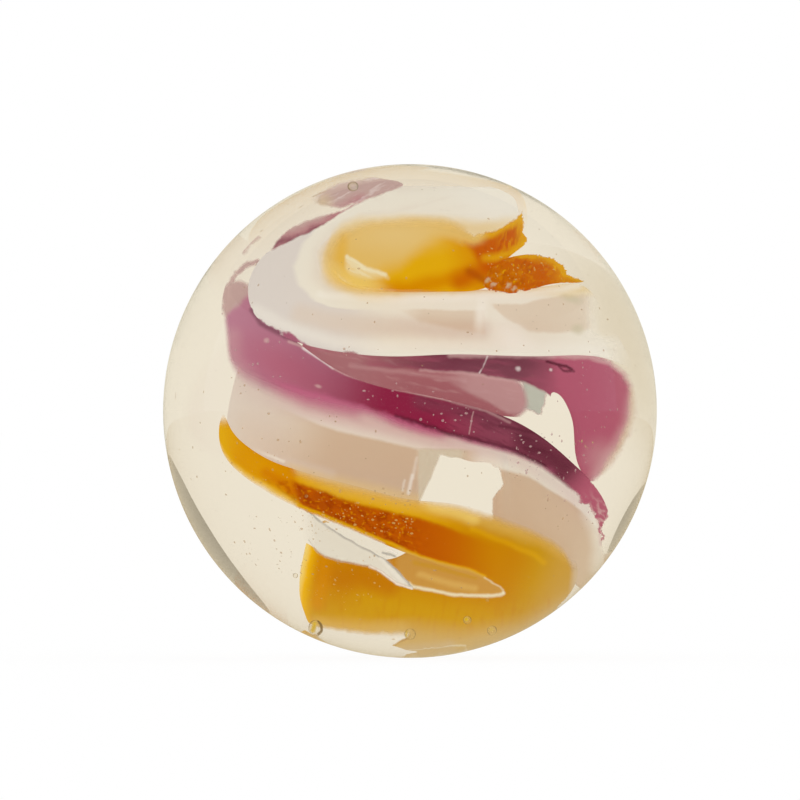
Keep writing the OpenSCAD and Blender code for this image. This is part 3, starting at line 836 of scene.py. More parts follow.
# Amber glass
def upper_amber_paint(tones):
    """Pale at the top and left, amber along the bottom and dark orange at the torn end."""
    paint = Paint("upper amber glass", tones.pale, wobble=0.5)
    paint.lay(tones.gold, paint.below([(-34, 54), (-15, 55), (-4, 59), (6, 67), (14, 72), (26, 76)], 5))
    paint.stroke(tones.gold, [(-27, 71), (-28, 62), (-25, 57)], 0.5, 3.5, 0.5)
    paint.stroke(tones.amber, [(-14, 48.5), (0, 49), (10, 51.5), (22, 55)], 2.4, 4)
    paint.stroke(tones.gold, [(12, 60), (22, 66)], 2, 6, 0.6)
    top = [
        (-36, 70), (-28, 73.5), (-20, 76), (-4, 76.5), (6, 76.5), (16, 75.5), (26, 70.6), (35, 72.5),
        (42, 77), (48, 83),
    ]
    paint.lay(tones.amber, paint.fade((12, 60), (26, 64)), 0.8)
    paint.lay(tones.orange, paint.fade((24, 62), (27.5, 64)))
    paint.lay(
        tones.umber,
        paint.streaks(70, 2, low=0.5, high=0.64, stretch=2, seed=15) * paint.fade((25, 62), (29, 64)),
        0.2,
    )
    paint.lay(
        tones.amber,
        paint.streaks(75, 1.4, low=0.46, high=0.6, stretch=4, seed=16) * paint.across(33, 40),
        0.8,
    )
    paint.stroke(tones.gold, [(24, 69.6), (34, 71.6), (42, 76), (46, 80)], 0.8, 2, 0.8)
    crest = paint.above([(4, 73), (12, 71), (20, 68.4), (26, 67), (32, 69)], 2.4) * paint.across(2, 10)
    paint.lay(tones.pale, crest * paint.across(33, 27), 0.95)
    paint.lay(tones.gold, paint.across(41, 46), 0.7)
    paint.stroke(tones.gold, [(30, 61.4), (36, 62), (41, 63.6), (46, 67)], 0.8, 2.2, 0.75)
    paint.stroke(tones.orange, [(20, 52), (29, 57)], 2.5, 4, 0.8)
    paint.stroke(tones.deep, [(24, 56), (28, 54), (30, 52)], 0.8, 2, 0.7)
    paint.dab(tones.pale, (-20, 53), (7, 4), 0.6, turn=-25, soft=0.8)
    leaf_top = [
        (-27, 61), (-25.6, 63), (-23.4, 61.8), (-21, 60.2), (-17.6, 57.8), (-13, 56.4), (-9.5, 55.4),
        (-8, 54),
    ]
    leaf = (
        paint.below(leaf_top, 0.5)
        * paint.above([(-27, 58), (-24, 55.6), (-18, 53.6), (-12, 53.4), (-8, 54)], 1.8)
    )
    leaf = leaf * paint.across(-27, -25) * paint.across(-7.5, -9)
    paint.lay(
        tones.lemon,
        paint.below([(-36, 60), (-25, 56), (-15, 53), (-4, 47)], 4) * paint.across(-4, -14),
        0.55,
    )
    paint.lay(tones.gleam, leaf, 0.38)
    paint.dab(tones.gleam, (-6, 71), (16, 6), 0.14, soft=1)
    paint.lay(tones.gleam, leaf * paint.streaks(-28, 1.4, low=0.45, high=0.62, stretch=6, seed=17), 0.3)
    paint.stroke(
        tones.gleam, [(-25.4, 62), (-21.4, 59.7), (-17.8, 57.3), (-13, 56), (-10, 55)], 0.2, 1.3, 0.55
    )
    paint.thin(paint.above(top, 3.6) * paint.across(30, 25))
    paint.thin((1 - paint.spot((4, 61.5), (37, 17), soft=0.15)) * paint.across(4, -10))
    low = [(-36, 54.4), (-30, 51.4), (-24, 49.4), (-14, 48.5), (-4, 48.2), (14, 47.6), (26, 47)]
    paint.thin(paint.below(low, 1.5))
    paint.unsteady(4, 40)
    paint.thin(paint.above(top, 0.8) * paint.across(20, 25))
    paint.thin(paint.beside([(46.5, 62), (45, 66), (47, 69.5), (45.4, 72), (45.6, 80)], 0.4))
    return paint.done()


def lower_amber_paint(tones):
    """Amber at the tip, dark orange across the front, honey round the turn and over the bottom."""
    paint = Paint("lower amber glass", tones.turn, wobble=0.4)
    dark_top = [
        (-48, -28), (-36, -32), (-26, -36), (-12, -40), (4, -43.5), (13, -46), (25, -50.5), (40, -57),
    ]
    dark_low = [
        (-46, -37.5), (-29, -44.5), (-15, -50.5), (-4, -55), (3, -58), (10, -60.5), (17, -62), (24, -63.6),
        (30, -66.5),
    ]
    paint.lay(tones.amber, paint.across(-30, -44) * paint.above([(-80, -46), (-30, -46)], 1))
    ridge = [(5, -39), (13, -41), (25, -46), (39, -52), (50, -59), (53, -66), (56, -80)]
    paint.lay(tones.honey, paint.above(ridge, 4) * paint.across(5, 25), 0.9)
    behind = paint.below([(-50, -50), (-30, -54), (0, -64), (30, -72), (40, -76), (70, -74)], 3)
    paint.lay(tones.sheet, behind * paint.below([(-50, -66), (0, -74), (40, -80), (70, -70)], 7))
    paint.lay(tones.honey, paint.fade((40, -60), (54, -66)))
    paint.lay(tones.sand, paint.fade((50, -60), (63, -64)), 0.22)
    paint.stroke(tones.brown, [(-34, -66), (-28, -68), (-20, -67), (-9, -71)], 2, 6, 0.85)
    paint.lay(tones.brown, paint.streaks(82, 2, low=0.45, high=0.75, stretch=4, seed=11) * behind, 0.3)
    paint.dab(tones.brown, (-30, -72), (9, 7), 0.5, soft=0.9)
    paint.stroke(tones.pale, [(-38, -88), (-20, -89), (-4, -89.6)], 1, 5, 0.55)
    ahead = paint.above([(-48, -38), (-29, -45), (-4, -56), (10, -61), (24, -64), (40, -70)], 1)
    paint.lay(tones.gold, paint.above(dark_top, 2.5) * paint.across(-48, -44) * paint.across(34, -4), 0.9)
    glow = paint.above([(-46, -27), (-25, -33), (-4, -38), (18, -42), (32, -47), (52, -53), (64, -60)], 4)
    paint.lay(tones.pale, glow * paint.across(-47, -30), 0.6)
    front = paint.above(dark_low, 0.8) * paint.below(dark_top, 1.2)
    paint.lay(tones.deep, front * paint.fade((-47.6, -33.4), (-44.9, -32.5)) * paint.across(36, 0))
    paint.lay(tones.orange, front * paint.across(-45, 14) * paint.across(40, 14), 0.5)
    paint.lay(
        tones.orange, paint.streaks(-24, 1.4, low=0.48, high=0.7, seed=4) * front * paint.across(20, 0), 0.6
    )
    red = paint.streaks(-30, 2.6, low=0.47, high=0.62, stretch=1.6, seed=9) * front * paint.across(10, -8)
    paint.lay(tones.umber, red, 0.6)
    paint.lay(
        tones.amber,
        paint.streaks(-24, 1.3, low=0.56, high=0.66, stretch=1.5, seed=10) * front * paint.across(14, -4),
        0.6,
    )
    paint.stroke(tones.gold, dark_low, 0.4, 1, 0.8)
    paint.stroke(tones.gold, [(25, -47.5), (32, -50.4), (42, -54.4), (50, -58), (54, -61)], 0.2, 1.8, 0.45)
    paint.stroke(
        tones.gold, [(-77, -2), (-76, -13), (-72, -21), (-65, -27), (-53, -33), (-46, -37.5)], 0.6, 2.4, 0.8
    )
    paint.lay(tones.gold, paint.fade((-64, -16), (-76, -8)), 0.8)
    paint.lay(tones.gold, paint.across(-46, -62), 0.3)
    paint.lay(
        tones.lemon, paint.line([(4, -37.6), (16, -40), (26, -43.4)], 0.8, 3) * paint.across(2, 10), 0.6
    )
    paint.stroke(tones.orange, [(-58, -25), (-48, -31)], 1, 3, 0.4)
    paint.lay(
        tones.sand, paint.below([(-45, -93), (-20, -91), (0, -88), (20, -90), (45, -87), (66, -76)], 6), 0.9
    )
    paint.lay(tones.dust, paint.beside([(64, -84), (65.4, -74), (65.8, -64), (64, -58)], 1.8), 0.95)
    paint.stroke(tones.amber, [(-35, -61), (-36, -70), (-38, -78)], 1, 5, 0.7)
    margin = [(-43, -92), (-44, -84), (-43.8, -76.5), (-43, -71), (-41, -61.5), (-39.6, -54)]
    # Painted light: sun yellow along the left margin, lighter than gold to make up for the shade at the back
    paint.lay(
        tones.sun,
        paint.left_of([(x + 2, y) for x, y in margin], 3) * paint.below([(-50, -50), (-30, -50)], 1),
        0.95,
    )
    paint.lay(
        tones.lemon,
        paint.left_of([(x - 0.8, y) for x, y in margin], 1.4) * paint.below([(-50, -50), (-30, -50)], 1),
        0.95,
    )
    tongue_low = [
        (-0.2, -70.2), (1, -71.4), (10.3, -73.3), (18.2, -74.5), (25.8, -75.1), (32.6, -75.2), (36.3, -74.6),
        (37.9, -73.6),
    ]
    tongue_top = [*dark_low[3:], (33.8, -69.6), (36.4, -70.9), (37.8, -72.4), (38.2, -73.4)]
    tongue = paint.below(tongue_top, 0.6) * paint.above([(-6, -63.5), *tongue_low], 0.6)
    paint.lay(tones.sand, tongue * paint.across(-8, -4) * paint.across(38.5, 37.5), 0.4)
    paint.stroke(tones.honey, [(2, -61.5), (14, -64.5), (26, -67.5)], 0.4, 1.4, 0.5)
    paint.stroke(tones.pale, [(4, -66.5), (16, -70), (26, -72)], 0.5, 2, 0.5)
    paint.stroke(tones.gleam, tongue_low, 0.3, 1, 0.8)
    paint.stroke(
        tones.gleam, [(30, -67), (33.8, -69.6), (36.4, -70.9), (37.8, -72.4), (37.9, -73.6)], 0.1, 0.7, 0.45
    )
    paint.stroke(tones.dust, [(-2, -98.5), (8, -97.6), (16, -96.6)], 1.5, 3.5, 0.5)
    paint.stroke(tones.gleam, [(0, -99), (5, -98.6), (11, -97.7), (17, -97), (23, -96.8)], 0.2, 0.7, 0.5)
    fold_low = [
        (-46, -50), (-41, -52), (-38, -56.5), (-34.4, -59), (-28, -61), (-16.4, -62.8), (-11.4, -65),
        (-5.3, -69.8), (0.8, -71.7),
    ]
    fold_top = [
        (-46, -40), (-36, -44.7), (-22.6, -53.4), (-13.2, -58.1), (-10.2, -59.9), (-5.8, -64), (-1.5, -68.8),
        (0.8, -71.5),
    ]
    paint.thin(paint.above(fold_low, 0.6) * (1 - ahead) * paint.below(fold_top, 0.4) * paint.across(1, 0))
    paint.thin(paint.above(fold_top, 0.4) * (1 - ahead) * paint.across(-9, -11))
    top_fade = [
        (-46, -25.5), (-25, -31), (-4, -35.8), (7, -37.2), (18, -39), (25, -41), (36, -44.5), (44.5, -47.4),
        (52.6, -51), (58, -54), (62, -57.5), (65.6, -63),
    ]
    paint.thin(paint.above(top_fade, 3) * paint.across(-50, -44))
    tip_edge = [
        (-80, -6), (-78, -12), (-75, -17.6), (-72, -21.8), (-66, -26.6), (-60, -30), (-54, -33.6),
        (-48, -36.6), (-42, -39.4),
    ]
    paint.lay(
        tones.lemon, paint.below([(x, y + 1.2) for x, y in tip_edge], 1.6) * paint.across(-44, -50), 0.6
    )
    paint.thin(paint.below(tip_edge, 2) * paint.across(-44, -47))
    paint.thin(paint.above([(-90, -4.5), (-60, -4.5)], 3.5))
    paint.unsteady(3, 16)
    sheet_left = [(-46, -92), (-47, -84), (-46.6, -76.5), (-45.6, -71), (-43.6, -61.5), (-42, -54)]
    paint.thin(paint.left_of(sheet_left, 0.9) * (1 - ahead))
    sand_left = paint.beside([(-5, -100), (-8, -95.8), (-1, -93), (1, -88)], 1)
    paint.thin(paint.below([(-46, -88), (-38, -89.2), (-16, -90.2), (0, -91)], 2) * (1 - sand_left))
    return paint.done()


def chip_paint(tones):
    """Dark orange, with an amber top and right end and some pale grains."""
    paint = Paint("amber chip glass", tones.orange, wobble=1)
    paint.dab(tones.deep, (37, 54), (11, 4.5), 0.3, turn=8, soft=0.8)
    paint.dab(tones.amber, (38, 54), (11, 5.5), 0.3, soft=1)
    paint.stroke(tones.deep, [(26, 54), (31, 58.5), (36, 61.5)], 0.5, 1.2, 0.9)
    paint.stroke(tones.amber, [(46, 62), (56, 60), (63, 56)], 0.6, 2, 0.8)
    paint.lay(tones.amber, paint.fade((53, 55), (63, 53)))
    paint.lay(
        tones.umber,
        paint.streaks(60, 2.4, low=0.5, high=0.66, stretch=1.6, seed=3) * paint.across(56, 48),
        0.3,
    )
    paint.lay(tones.amber, paint.streaks(30, 2.6, low=0.5, high=0.64, stretch=1.4, seed=9), 0.45)
    paint.lay(tones.gold, paint.streaks(75, 1.5, low=0.62, high=0.68, stretch=2.2), 0.75)
    paint.lay(tones.pale, paint.streaks(115, 1.3, low=0.66, high=0.71, stretch=2.6, seed=8), 0.8)
    gold_low = [
        (26, 53.4), (31, 57.6), (35, 60.6), (41, 61.6), (52, 61.6), (58, 59.6), (61, 56), (62, 54), (70, 51),
    ]
    paint.lay(tones.gold, paint.above(gold_low, 0.9), 0.7)
    paint.unsteady(3, 60)
    for at in ((31, 52.4), (33.4, 50.6), (39.6, 50.4), (41.6, 49.2)):
        paint.dab(tones.dust, at, (1.1, 0.7), 0.75, turn=30, soft=0.7)
    paint.unsteady(4, 40)
    top = [
        (26, 54.6), (31, 58.8), (35, 61.8), (41, 62.8), (52, 62.8), (58, 60.8), (62, 58), (63, 55), (70, 52),
    ]
    paint.thin(paint.above(top, 0.4))
    low = [(26, 53), (30, 49.8), (32, 48.6), (40, 47.6), (51, 49.4), (60, 51), (70, 51.6)]
    paint.thin(paint.below(low, 0.4))
    return paint.done()


class MARBLE_OT_amber_ribbons(bpy.types.Operator):
    """Adds the two amber ribbons and the torn chip"""

    bl_idname = "marble.amber_ribbons"
    bl_label = "Amber ribbons"

    def execute(self, context):
        tones = context.scene.marble_amber
        ribbon("upper_amber_ribbon", upper_amber_paint(tones), "upper_amber_glass")
        ribbon("lower_amber_ribbon", lower_amber_paint(tones), "lower_amber_glass")
        ribbon("amber_chip", chip_paint(tones), "amber_chip_glass")
        return {"FINISHED"}


# Clear glass
BALL_SUBDIVISIONS = 7
GLASS_GLOSS = (0.03, 0.03, 0.03, 1)
# Where the bubbles are seen, and their half width and half height
BUBBLES = (
    ((-38, -87.5), (3, 3.4)),
    ((0, -89.7), (2.3, 2.3)),
    ((23, -84), (1.7, 1.7)),
    ((33, -88.4), (2, 2)),
    ((-46, -66), (1, 1)),
    ((31, -75.8), (0.7, 0.7)),
    ((-41.5, -34), (0.7, 0.7)),
    ((-23, 90.5), (2.2, 2)),
)
BUBBLE_DEPTH = 0.05
BUBBLE_SUBDIVISIONS = 4
# The fold's upper and lower edge as they are seen
FOLD_TOP = ((-45, -37), (-36, -41), (-28, -44.5), (-20, -48), (-12, -51.5), (-6, -54), (0, -57))
FOLD_LOW = ((-43, -52), (-38, -57.5), (-32, -61), (-24, -62.5), (-14, -65), (-6, -70.5), (3, -73))
FOLD_DEPTH = 0.45
FOLD_STEPS = 48
SPECK_SEED = 7
SPECKS_ALL_ROUND = 220
SPECK_REACH = 0.97
SPECK_SMALLEST = 0.25
SPECK_STRETCH = (0.7, 1.4)
SPECK_FLATNESS = 0.3
# Where the specks crowd: middle, half width and half height, and how many
SPECK_CROWDS = (
    ((-56, 17), (14, 12), 26),
    ((-10, 2), (30, 8), 26),
    ((56, -18), (16, 10), 70),
    ((20, -4), (20, 6), 24),
    ((78, 0), (10, 20), 40),
    ((46, 55), (16, 6), 60),
    ((-62, -20), (14, 9), 24),
    ((-22, -40), (24, 9), 150),
    ((-26, -68), (16, 10), 60),
    ((-52, -54), (16, 12), 60),
    ((30, 66), (10, 6), 14),
    ((66, -40), (12, 8), 18),
    ((70, 30), (16, 16), 16),
    ((0, 0), (90, 90), 120),
)


def round_as_seen(at, size, depth, subdivisions):
    """A small ball inside the glass that looks round from the front."""
    bpy.ops.mesh.primitive_ico_sphere_add(subdivisions=subdivisions, radius=1)
    made = bpy.context.object
    for vertex in made.data.vertices:
        across = (at[0] + vertex.co.x * size[0]) * HUNDREDTH
        up = (at[1] + vertex.co.z * size[1]) * HUNDREDTH
        vertex.co = place(across, up, depth + vertex.co.y * size[0] * HUNDREDTH / 2)
    return made


def joined(parts, name, material):
    """Several meshes made one smooth piece that rides with the ball."""
    only(parts[0])
    for part in parts[1:]:
        part.select_set(True)
    bpy.ops.object.join()
    bpy.ops.object.shade_smooth()
    piece = bpy.context.object
    piece.name = piece.data.name = name
    piece.data.materials.clear()
    piece.data.materials.append(material)
    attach(piece, "root")
    return piece


class MARBLE_OT_clear_ball(bpy.types.Operator):
    """Adds the clear ball"""

    bl_idname = "marble.clear_ball"
    bl_label = "Clear ball"

    def execute(self, context):
        clear = context.scene.marble_clear
        bpy.ops.mesh.primitive_ico_sphere_add(subdivisions=BALL_SUBDIVISIONS, radius=BALL_RADIUS)
        ball = context.object
        waves = bpy.data.textures.new("slow waves", "CLOUDS")
        waves.noise_scale = clear.wave_size
        swell = ball.modifiers.new("slow waves", "DISPLACE")
        swell.texture, swell.strength, swell.mid_level = waves, clear.waviness, 1.0
        bpy.ops.object.modifier_apply(modifier=swell.name)
        glass = Tree("clear glass")
        shader = glass.node(
            "ShaderNodeBsdfPrincipled",
            {},
            {
                "Base Color": (*clear.tint, 1),
                "Roughness": 0.0,
                "IOR": clear.index,
                "Transmission Weight": 1.0,
                "Specular Tint": GLASS_GLOSS,
            },
        )
        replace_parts(joined([ball], "clear_glass_ball", glass.surface(shader)), "clear_glass")
        return {"FINISHED"}


class MARBLE_OT_bubbles(bpy.types.Operator):
    """Adds the air bubbles, most of them near the lower front"""

    bl_idname = "marble.bubbles"
    bl_label = "Air bubbles"

    def execute(self, context):
        clear = context.scene.marble_clear
        balls = [round_as_seen(at, size, BUBBLE_DEPTH, BUBBLE_SUBDIVISIONS) for at, size in BUBBLES]
        for ball in balls:
            keep_seen_places(ball.data)
        paint = Paint("air bubble", clear.bubble, wobble=0)
        facing = paint.node("ShaderNodeLayerWeight", {}, {"Blend": 0.5}).outputs["Facing"]
        surface = paint.node("ShaderNodeNewGeometry").outputs
        normal = paint.node("ShaderNodeSeparateXYZ", {}, {"Vector": surface["Normal"]})
        # Painted shade: a dark ring towards each bubble's rim, weaker on its underside
        rim = paint.smooth(facing, 0.16, 0.56) * paint.smooth(normal.outputs["Z"], -1.2, 0.3)
        paint.lay(clear.bubble_shade, rim)
        # Painted highlight: bright amber inside four of the bubbles; painted shade: a dark line down the
        # right of the largest
        bubble_highlight = paint.line([(-38.4, -85.6), (-39.2, -88.6)], 0.8, 1)
        shadow = paint.line([(-37, -84.4), (-35.8, -86.4), (-35.6, -88.6), (-37, -90)], 0.3, 0.8)
        paint.lay(clear.bubble_shade, shadow)
        bubble_highlight = bubble_highlight.higher(paint.spot((22.6, -83.7), (0.9, 0.9), soft=0.8))
        bubble_highlight = bubble_highlight.higher(paint.spot((32.7, -88), (1, 0.9), soft=0.8) * 0.6)
        bubble_highlight = bubble_highlight.higher(paint.line([(-1.4, -88.6), (-1.6, -90.6)], 0.2, 0.8) * 0.7)
        paint.lay(clear.bubble_highlight, bubble_highlight)
        paint.dab(clear.fold_gleam, (-22.6, 90.2), (1.5, 1.3), 0.7, soft=0.8)
        paint.cover = (rim * 0.7 + 0.1).higher(bubble_highlight * 0.95).higher(shadow * 0.8)
        joined(balls, "air_bubbles", paint.done())
        return {"FINISHED"}


class MARBLE_OT_fold(bpy.types.Operator):
    """Adds the clear glass that is folded over behind the lower amber"""

    bl_idname = "marble.fold"
    bl_label = "Clear fold"

    def execute(self, context):
        clear = context.scene.marble_clear
        bpy.ops.mesh.primitive_grid_add(x_subdivisions=FOLD_STEPS, y_subdivisions=FOLD_STEPS // 2, size=1)
        sheet = context.object
        top, low = np.array(FOLD_TOP).T, np.array(FOLD_LOW).T
        stations = np.linspace(0, 1, len(FOLD_TOP))
        for vertex in sheet.data.vertices:
            along, rise = vertex.co.x + 0.5, vertex.co.y + 0.5
            ends = [[np.interp(along, stations, line) for line in edge] for edge in (low, top)]
            across, up = (start + (end - start) * rise for start, end in zip(*ends))
            vertex.co = place(across * HUNDREDTH, up * HUNDREDTH, FOLD_DEPTH)
        keep_seen_places(sheet.data)
        paint = Paint("clear fold", clear.fold, wobble=0.4)
        first = [
            (-43, -39), (-36.2, -44.7), (-27.5, -50.6), (-17.6, -55.9), (-10.2, -59.9), (-5.8, -64),
            (-1.5, -68.8), (1, -71.4),
        ]
        second = [
            (-41, -52.2), (-38, -56.5), (-34.4, -59), (-28, -61), (-16.4, -62.8), (-11.4, -65),
            (-5.3, -69.8), (0.8, -71.7),
        ]
        strip = paint.below(first, 0.5) * paint.above(second, 0.4) * paint.across(-45, -36)
        grey = paint.line(first, 0.25, 0.6).higher(paint.line(second[:5], 0.2, 0.5) * 0.6)
        grey = grey.higher(paint.line([(-11, -57), (-8, -57.8), (-6, -58.6)], 0.4, 0.8))
        white = paint.line(second[4:], 0.4, 0.7).higher(paint.line([(-9, -56), (-5.5, -57.4)], 0.4, 0.6))
        white = white.higher(paint.line([(-12, -59.5), (-7, -65), (-3, -69.4)], 0.4, 0.9) * 0.6)
        paint.lay(clear.fold_line, grey)
        paint.lay(clear.fold_gleam, white)
        over = paint.above(first, 0.6) * paint.across(-40, -30) * paint.across(-6, -11)
        paint.cover = (strip * 0.6).higher(over * 0.3).higher(grey * 0.8).higher(white * 0.9)
        joined([sheet], "clear_fold", paint.done())
        return {"FINISHED"}


class MARBLE_OT_specks(bpy.types.Operator):
    """Adds the pits in the worn surface"""

    bl_idname = "marble.specks"
    bl_label = "Surface specks"

    def execute(self, context):
        clear = context.scene.marble_clear
        draw = random.Random(SPECK_SEED)
        ways = []
        for (across, up), (width, height), count in SPECK_CROWDS:
            while count:
                x = (across + width * draw.uniform(-1, 1)) * HUNDREDTH
                z = (up + height * draw.uniform(-1, 1)) * HUNDREDTH
                if x * x + z * z < SPECK_REACH:
                    ways.append(Vector((x, -math.sqrt(1 - x * x - z * z), z)))
                    count -= 1
        for _ in range(SPECKS_ALL_ROUND):
            height, angle = draw.uniform(-1, 1), draw.uniform(0, 2 * math.pi)
            wide = math.sqrt(1 - height * height)
            ways.append(Vector((wide * math.cos(angle), wide * math.sin(angle), height)))
        bpy.ops.mesh.primitive_ico_sphere_add(subdivisions=1, radius=0.5)
        pit = context.object
        shape = [vertex.co.copy() for vertex in pit.data.vertices]
        sides = [tuple(face.vertices) for face in pit.data.polygons]
        points, faces = [], []
        for way in ways:
            turn = way.to_track_quat("Z", "Y")
            size = clear.speck_size * (SPECK_SMALLEST + (1 - SPECK_SMALLEST) * draw.random() ** 3)
            stretch = draw.uniform(*SPECK_STRETCH)
            faces += [tuple(len(points) + corner for corner in side) for side in sides]
            for corner in shape:
                flat = Vector((corner.x * stretch, corner.y / stretch, corner.z * SPECK_FLATNESS)) * size
                points.append(way * (BALL_RADIUS - clear.speck_size * 0.5) + turn @ flat)
        mesh = bpy.data.meshes.new("surface_specks")
        mesh.from_pydata(points, [], faces)
        pit.data = mesh
        keep_seen_places(mesh)
        paint = Paint("surface speck", clear.speck)
        purple = paint.line([(-70, 32), (-40, 16), (0, 2), (40, -8), (72, -32)], 12, 4)
        purple = purple.higher(paint.spot((72, 8), (22, 16)))
        amber = paint.line([(-74, -12), (-60, -25), (-30, -39), (0, -50), (30, -58), (46, -60)], 8, 2)
        amber = amber.higher(paint.spot((-14, -78), (32, 15), soft=0.1))
        amber = amber.higher(paint.spot((24, 60), (40, 13), soft=0.1))
        paint.lay(clear.purple_speck, purple)
        paint.lay(clear.amber_speck, amber)
        paint.cover = purple * 0.1 + amber * 0.12 + 0.36
        joined([pit], "surface_specks", paint.done())
        return {"FINISHED"}


# Stage
IMAGE_WIDTH = 800
BALL_WIDTH_IN_IMAGE = 494
BALL_AT_IN_IMAGE = (410, 411)
FLOOR_WIDTH = 6.0
FLOOR_WHITENESS = 0.94
FLOOR_CARD_LIFT = BALL_RADIUS * 1e-3
CAMERA_CLIP = (0.01, 100)
CARD_DISTANCE = BALL_RADIUS * 30
CARD_SIDES = 96
# A soft card has its own colour out to this share of its reach, and white at its rim
CARD_PLAIN_SHARE = 0.35
# The grey cards that show as crescents at the ball's rim: their direction, and their reach as two angles
CARDS = (((0.836, 0.122, 0.535), (22.4, 22.4)), ((-0.886, -0.035, 0.462), (26, 11.5)))
# The cream card behind that the rim mirrors
BACK_CARD = ((0, 1, 0), (68, 68), CARD_DISTANCE)
# The pale card that shows in the clear glass at the right, near enough to stand above the floor
SIDE_CARD = ((-0.78, 0.6, -0.22), (42, 24), BALL_RADIUS * 2.2)
# The dark card overhead that keeps white gleams off the upper ribbons
TOP_CARD = ((0, 0.1, 1), (58, 58), CARD_DISTANCE)


def floor_finish():
    """A white floor that shows a faint shadow to the camera."""
    tree = Tree("white floor")
    matt = tree.node("ShaderNodeBsdfDiffuse", {}, {"Color": (1, 1, 1, 1)})
    white = tree.node("ShaderNodeEmission", {}, {"Color": (1, 1, 1, 1), "Strength": 1.0})
    path = tree.node("ShaderNodeLightPath").outputs
    seen = Value(tree, path["Is Camera Ray"]).higher(Value(tree, path["Is Glossy Ray"]))
    seen = seen.higher(Value(tree, path["Is Transmission Ray"]))
    sockets = {0: seen * FLOOR_WHITENESS, 1: matt.outputs[0], 2: white.outputs[0]}
    return tree.surface(tree.node("ShaderNodeMixShader", {}, sockets))


def card(name, way, reach, distance, colour, soft=False):
    """A round card that only the glass shows, facing the ball from a direction."""
    way = Vector(way).normalized()
    bpy.ops.mesh.primitive_circle_add(
        vertices=CARD_SIDES,
        fill_type="NGON",
        radius=distance,
        location=way * distance,
        rotation=way.to_track_quat("Z", "Y").to_euler(),
    )
    bpy.context.object.scale = (math.tan(math.radians(reach[0])), math.tan(math.radians(reach[1])), 1)
    return card_finish(bpy.context.object, name, colour, distance if soft else None)


def card_finish(made, name, colour, soft_reach=None):
    """Makes a flat shape a card that only the glass shows, of one colour or white towards its rim."""
    made.name = name
    tree = Tree(name)
    tone = (*colour, 1)
    if soft_reach:
        here = tree.node("ShaderNodeTexCoord").outputs["Object"]
        rim = tree.smooth(tree.vector("LENGTH", here), soft_reach * CARD_PLAIN_SHARE, soft_reach)
        mixed = tree.node("ShaderNodeMix", {"data_type": "RGBA"}, {0: rim, 6: tone, 7: (1, 1, 1, 1)})
        tone = mixed.outputs[2]
    shader = tree.node("ShaderNodeEmission", {}, {"Color": tone, "Strength": 1.0})
    made.data.materials.append(tree.surface(shader))
    made.visible_camera = made.visible_diffuse = made.visible_shadow = False
    return made


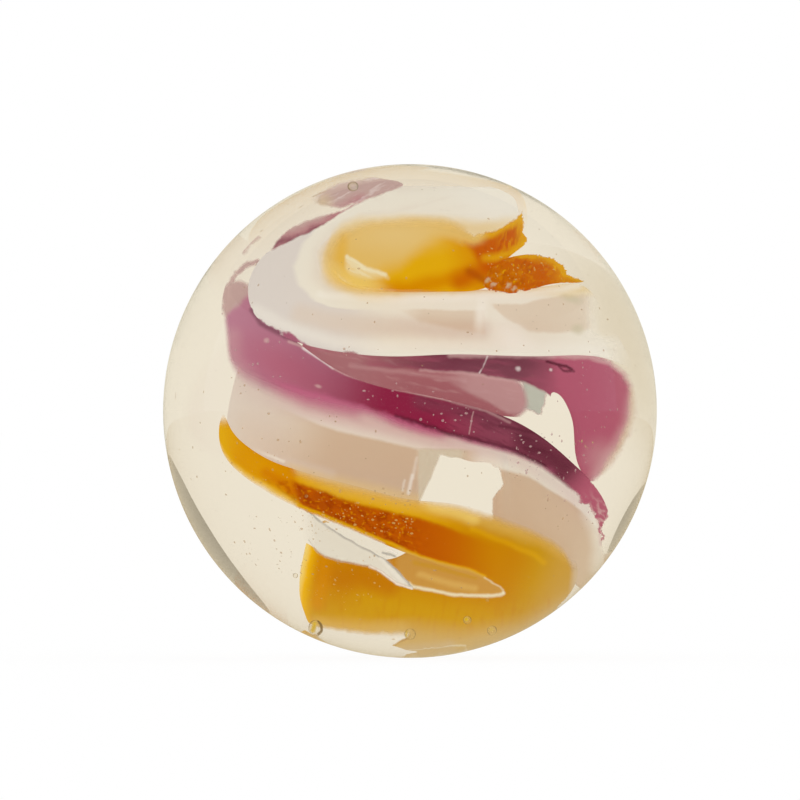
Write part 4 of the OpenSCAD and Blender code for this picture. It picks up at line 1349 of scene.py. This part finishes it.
class MARBLE_OT_stage(bpy.types.Operator):
    """Adds the white floor, the cards round the ball, the light and the camera"""

    bl_idname = "marble.stage"
    bl_label = "Stage"

    def execute(self, context):
        scene, stage = context.scene, context.scene.marble_stage
        bpy.ops.mesh.primitive_plane_add(size=FLOOR_WIDTH, location=(0, 0, CAD_BOX[0][2]))
        floor = context.object
        floor.name = "floor"
        floor.data.materials.append(floor_finish())

        for number, (way, reach) in enumerate(CARDS, 1):
            card(f"card_{number}", way, reach, CARD_DISTANCE, stage.card).visible_glossy = False
        rim_cards = [card("back_card", *BACK_CARD, stage.back_card)]
        card_height = CAD_BOX[0][2] + FLOOR_CARD_LIFT
        bpy.ops.mesh.primitive_plane_add(size=FLOOR_WIDTH, location=(0, 0, card_height))
        rim_cards.append(card_finish(context.object, "floor_card", stage.floor_card))
        rim_cards.append(card("top_card", *TOP_CARD, stage.top_card))
        for made in rim_cards:
            made.visible_transmission = False
        card("side_card", *SIDE_CARD, stage.side_card, soft=True).visible_glossy = False

        world = bpy.data.worlds.new("white surroundings")
        world.use_nodes = True
        world.node_tree.nodes["Background"].inputs["Color"].default_value = (1, 1, 1, 1)
        world.node_tree.nodes["Background"].inputs["Strength"].default_value = stage.light
        scene.world = world

        width = 2 * BALL_RADIUS * IMAGE_WIDTH / BALL_WIDTH_IN_IMAGE
        pixel = width / IMAGE_WIDTH
        aside = (IMAGE_WIDTH / 2 - BALL_AT_IN_IMAGE[0]) * pixel
        above = (BALL_AT_IN_IMAGE[1] - IMAGE_WIDTH / 2) * pixel
        level = (math.radians(90), 0, 0)
        bpy.ops.object.camera_add(location=(aside, -stage.distance, above), rotation=level)
        camera = context.object
        camera.data.lens = camera.data.sensor_width * stage.distance / width
        camera.data.clip_start, camera.data.clip_end = CAMERA_CLIP
        scene.camera = camera

        scene.view_settings.view_transform = "Standard"
        scene.cycles.blur_glossy = 0
        scene.cycles.max_bounces = 24
        scene.cycles.transmission_bounces = 16
        scene.cycles.transparent_max_bounces = 32
        return {"FINISHED"}


class MARBLE_PT_panel(bpy.types.Panel):
    """The marble's sizes, colours and pieces"""

    bl_idname = "MARBLE_PT_panel"
    bl_label = "Glass marble"
    bl_space_type = "VIEW_3D"
    bl_region_type = "UI"
    bl_category = "Marble"

    def draw(self, context):
        layout = self.layout
        for group in GROUPS:
            box = layout.box()
            box.label(text=group.__doc__)
            settings = getattr(context.scene, GROUPS[group])
            for key in group.__annotations__:
                box.prop(settings, key)
        for operator in OPERATORS:
            layout.operator(operator.bl_idname)


GROUPS = {
    MarbleClear: "marble_clear",
    MarbleWhite: "marble_white",
    MarblePurple: "marble_purple",
    MarbleAmber: "marble_amber",
    MarbleStage: "marble_stage",
}
OPERATORS = (
    MARBLE_OT_white_ribbons,
    MARBLE_OT_purple_ribbons,
    MARBLE_OT_amber_ribbons,
    MARBLE_OT_clear_ball,
    MARBLE_OT_bubbles,
    MARBLE_OT_fold,
    MARBLE_OT_specks,
    MARBLE_OT_stage,
)


def register():
    """Makes the settings, operators and panel known to Blender."""
    for group, name in GROUPS.items():
        bpy.utils.register_class(group)
        setattr(bpy.types.Scene, name, bpy.props.PointerProperty(type=group))
    for part in (*OPERATORS, MARBLE_PT_panel):
        bpy.utils.register_class(part)


def unregister():
    """Takes the panel, operators and settings away again."""
    for part in (MARBLE_PT_panel, *reversed(OPERATORS)):
        bpy.utils.unregister_class(part)
    for group, name in GROUPS.items():
        delattr(bpy.types.Scene, name)
        bpy.utils.unregister_class(group)


def main():
    """Builds the marble on its stage."""
    register()
    bpy.ops.marble.white_ribbons()
    bpy.ops.marble.purple_ribbons()
    bpy.ops.marble.amber_ribbons()
    bpy.ops.marble.clear_ball()
    bpy.ops.marble.bubbles()
    bpy.ops.marble.fold()
    bpy.ops.marble.specks()
    bpy.ops.marble.stage()


if __name__ == "__main__":
    main()
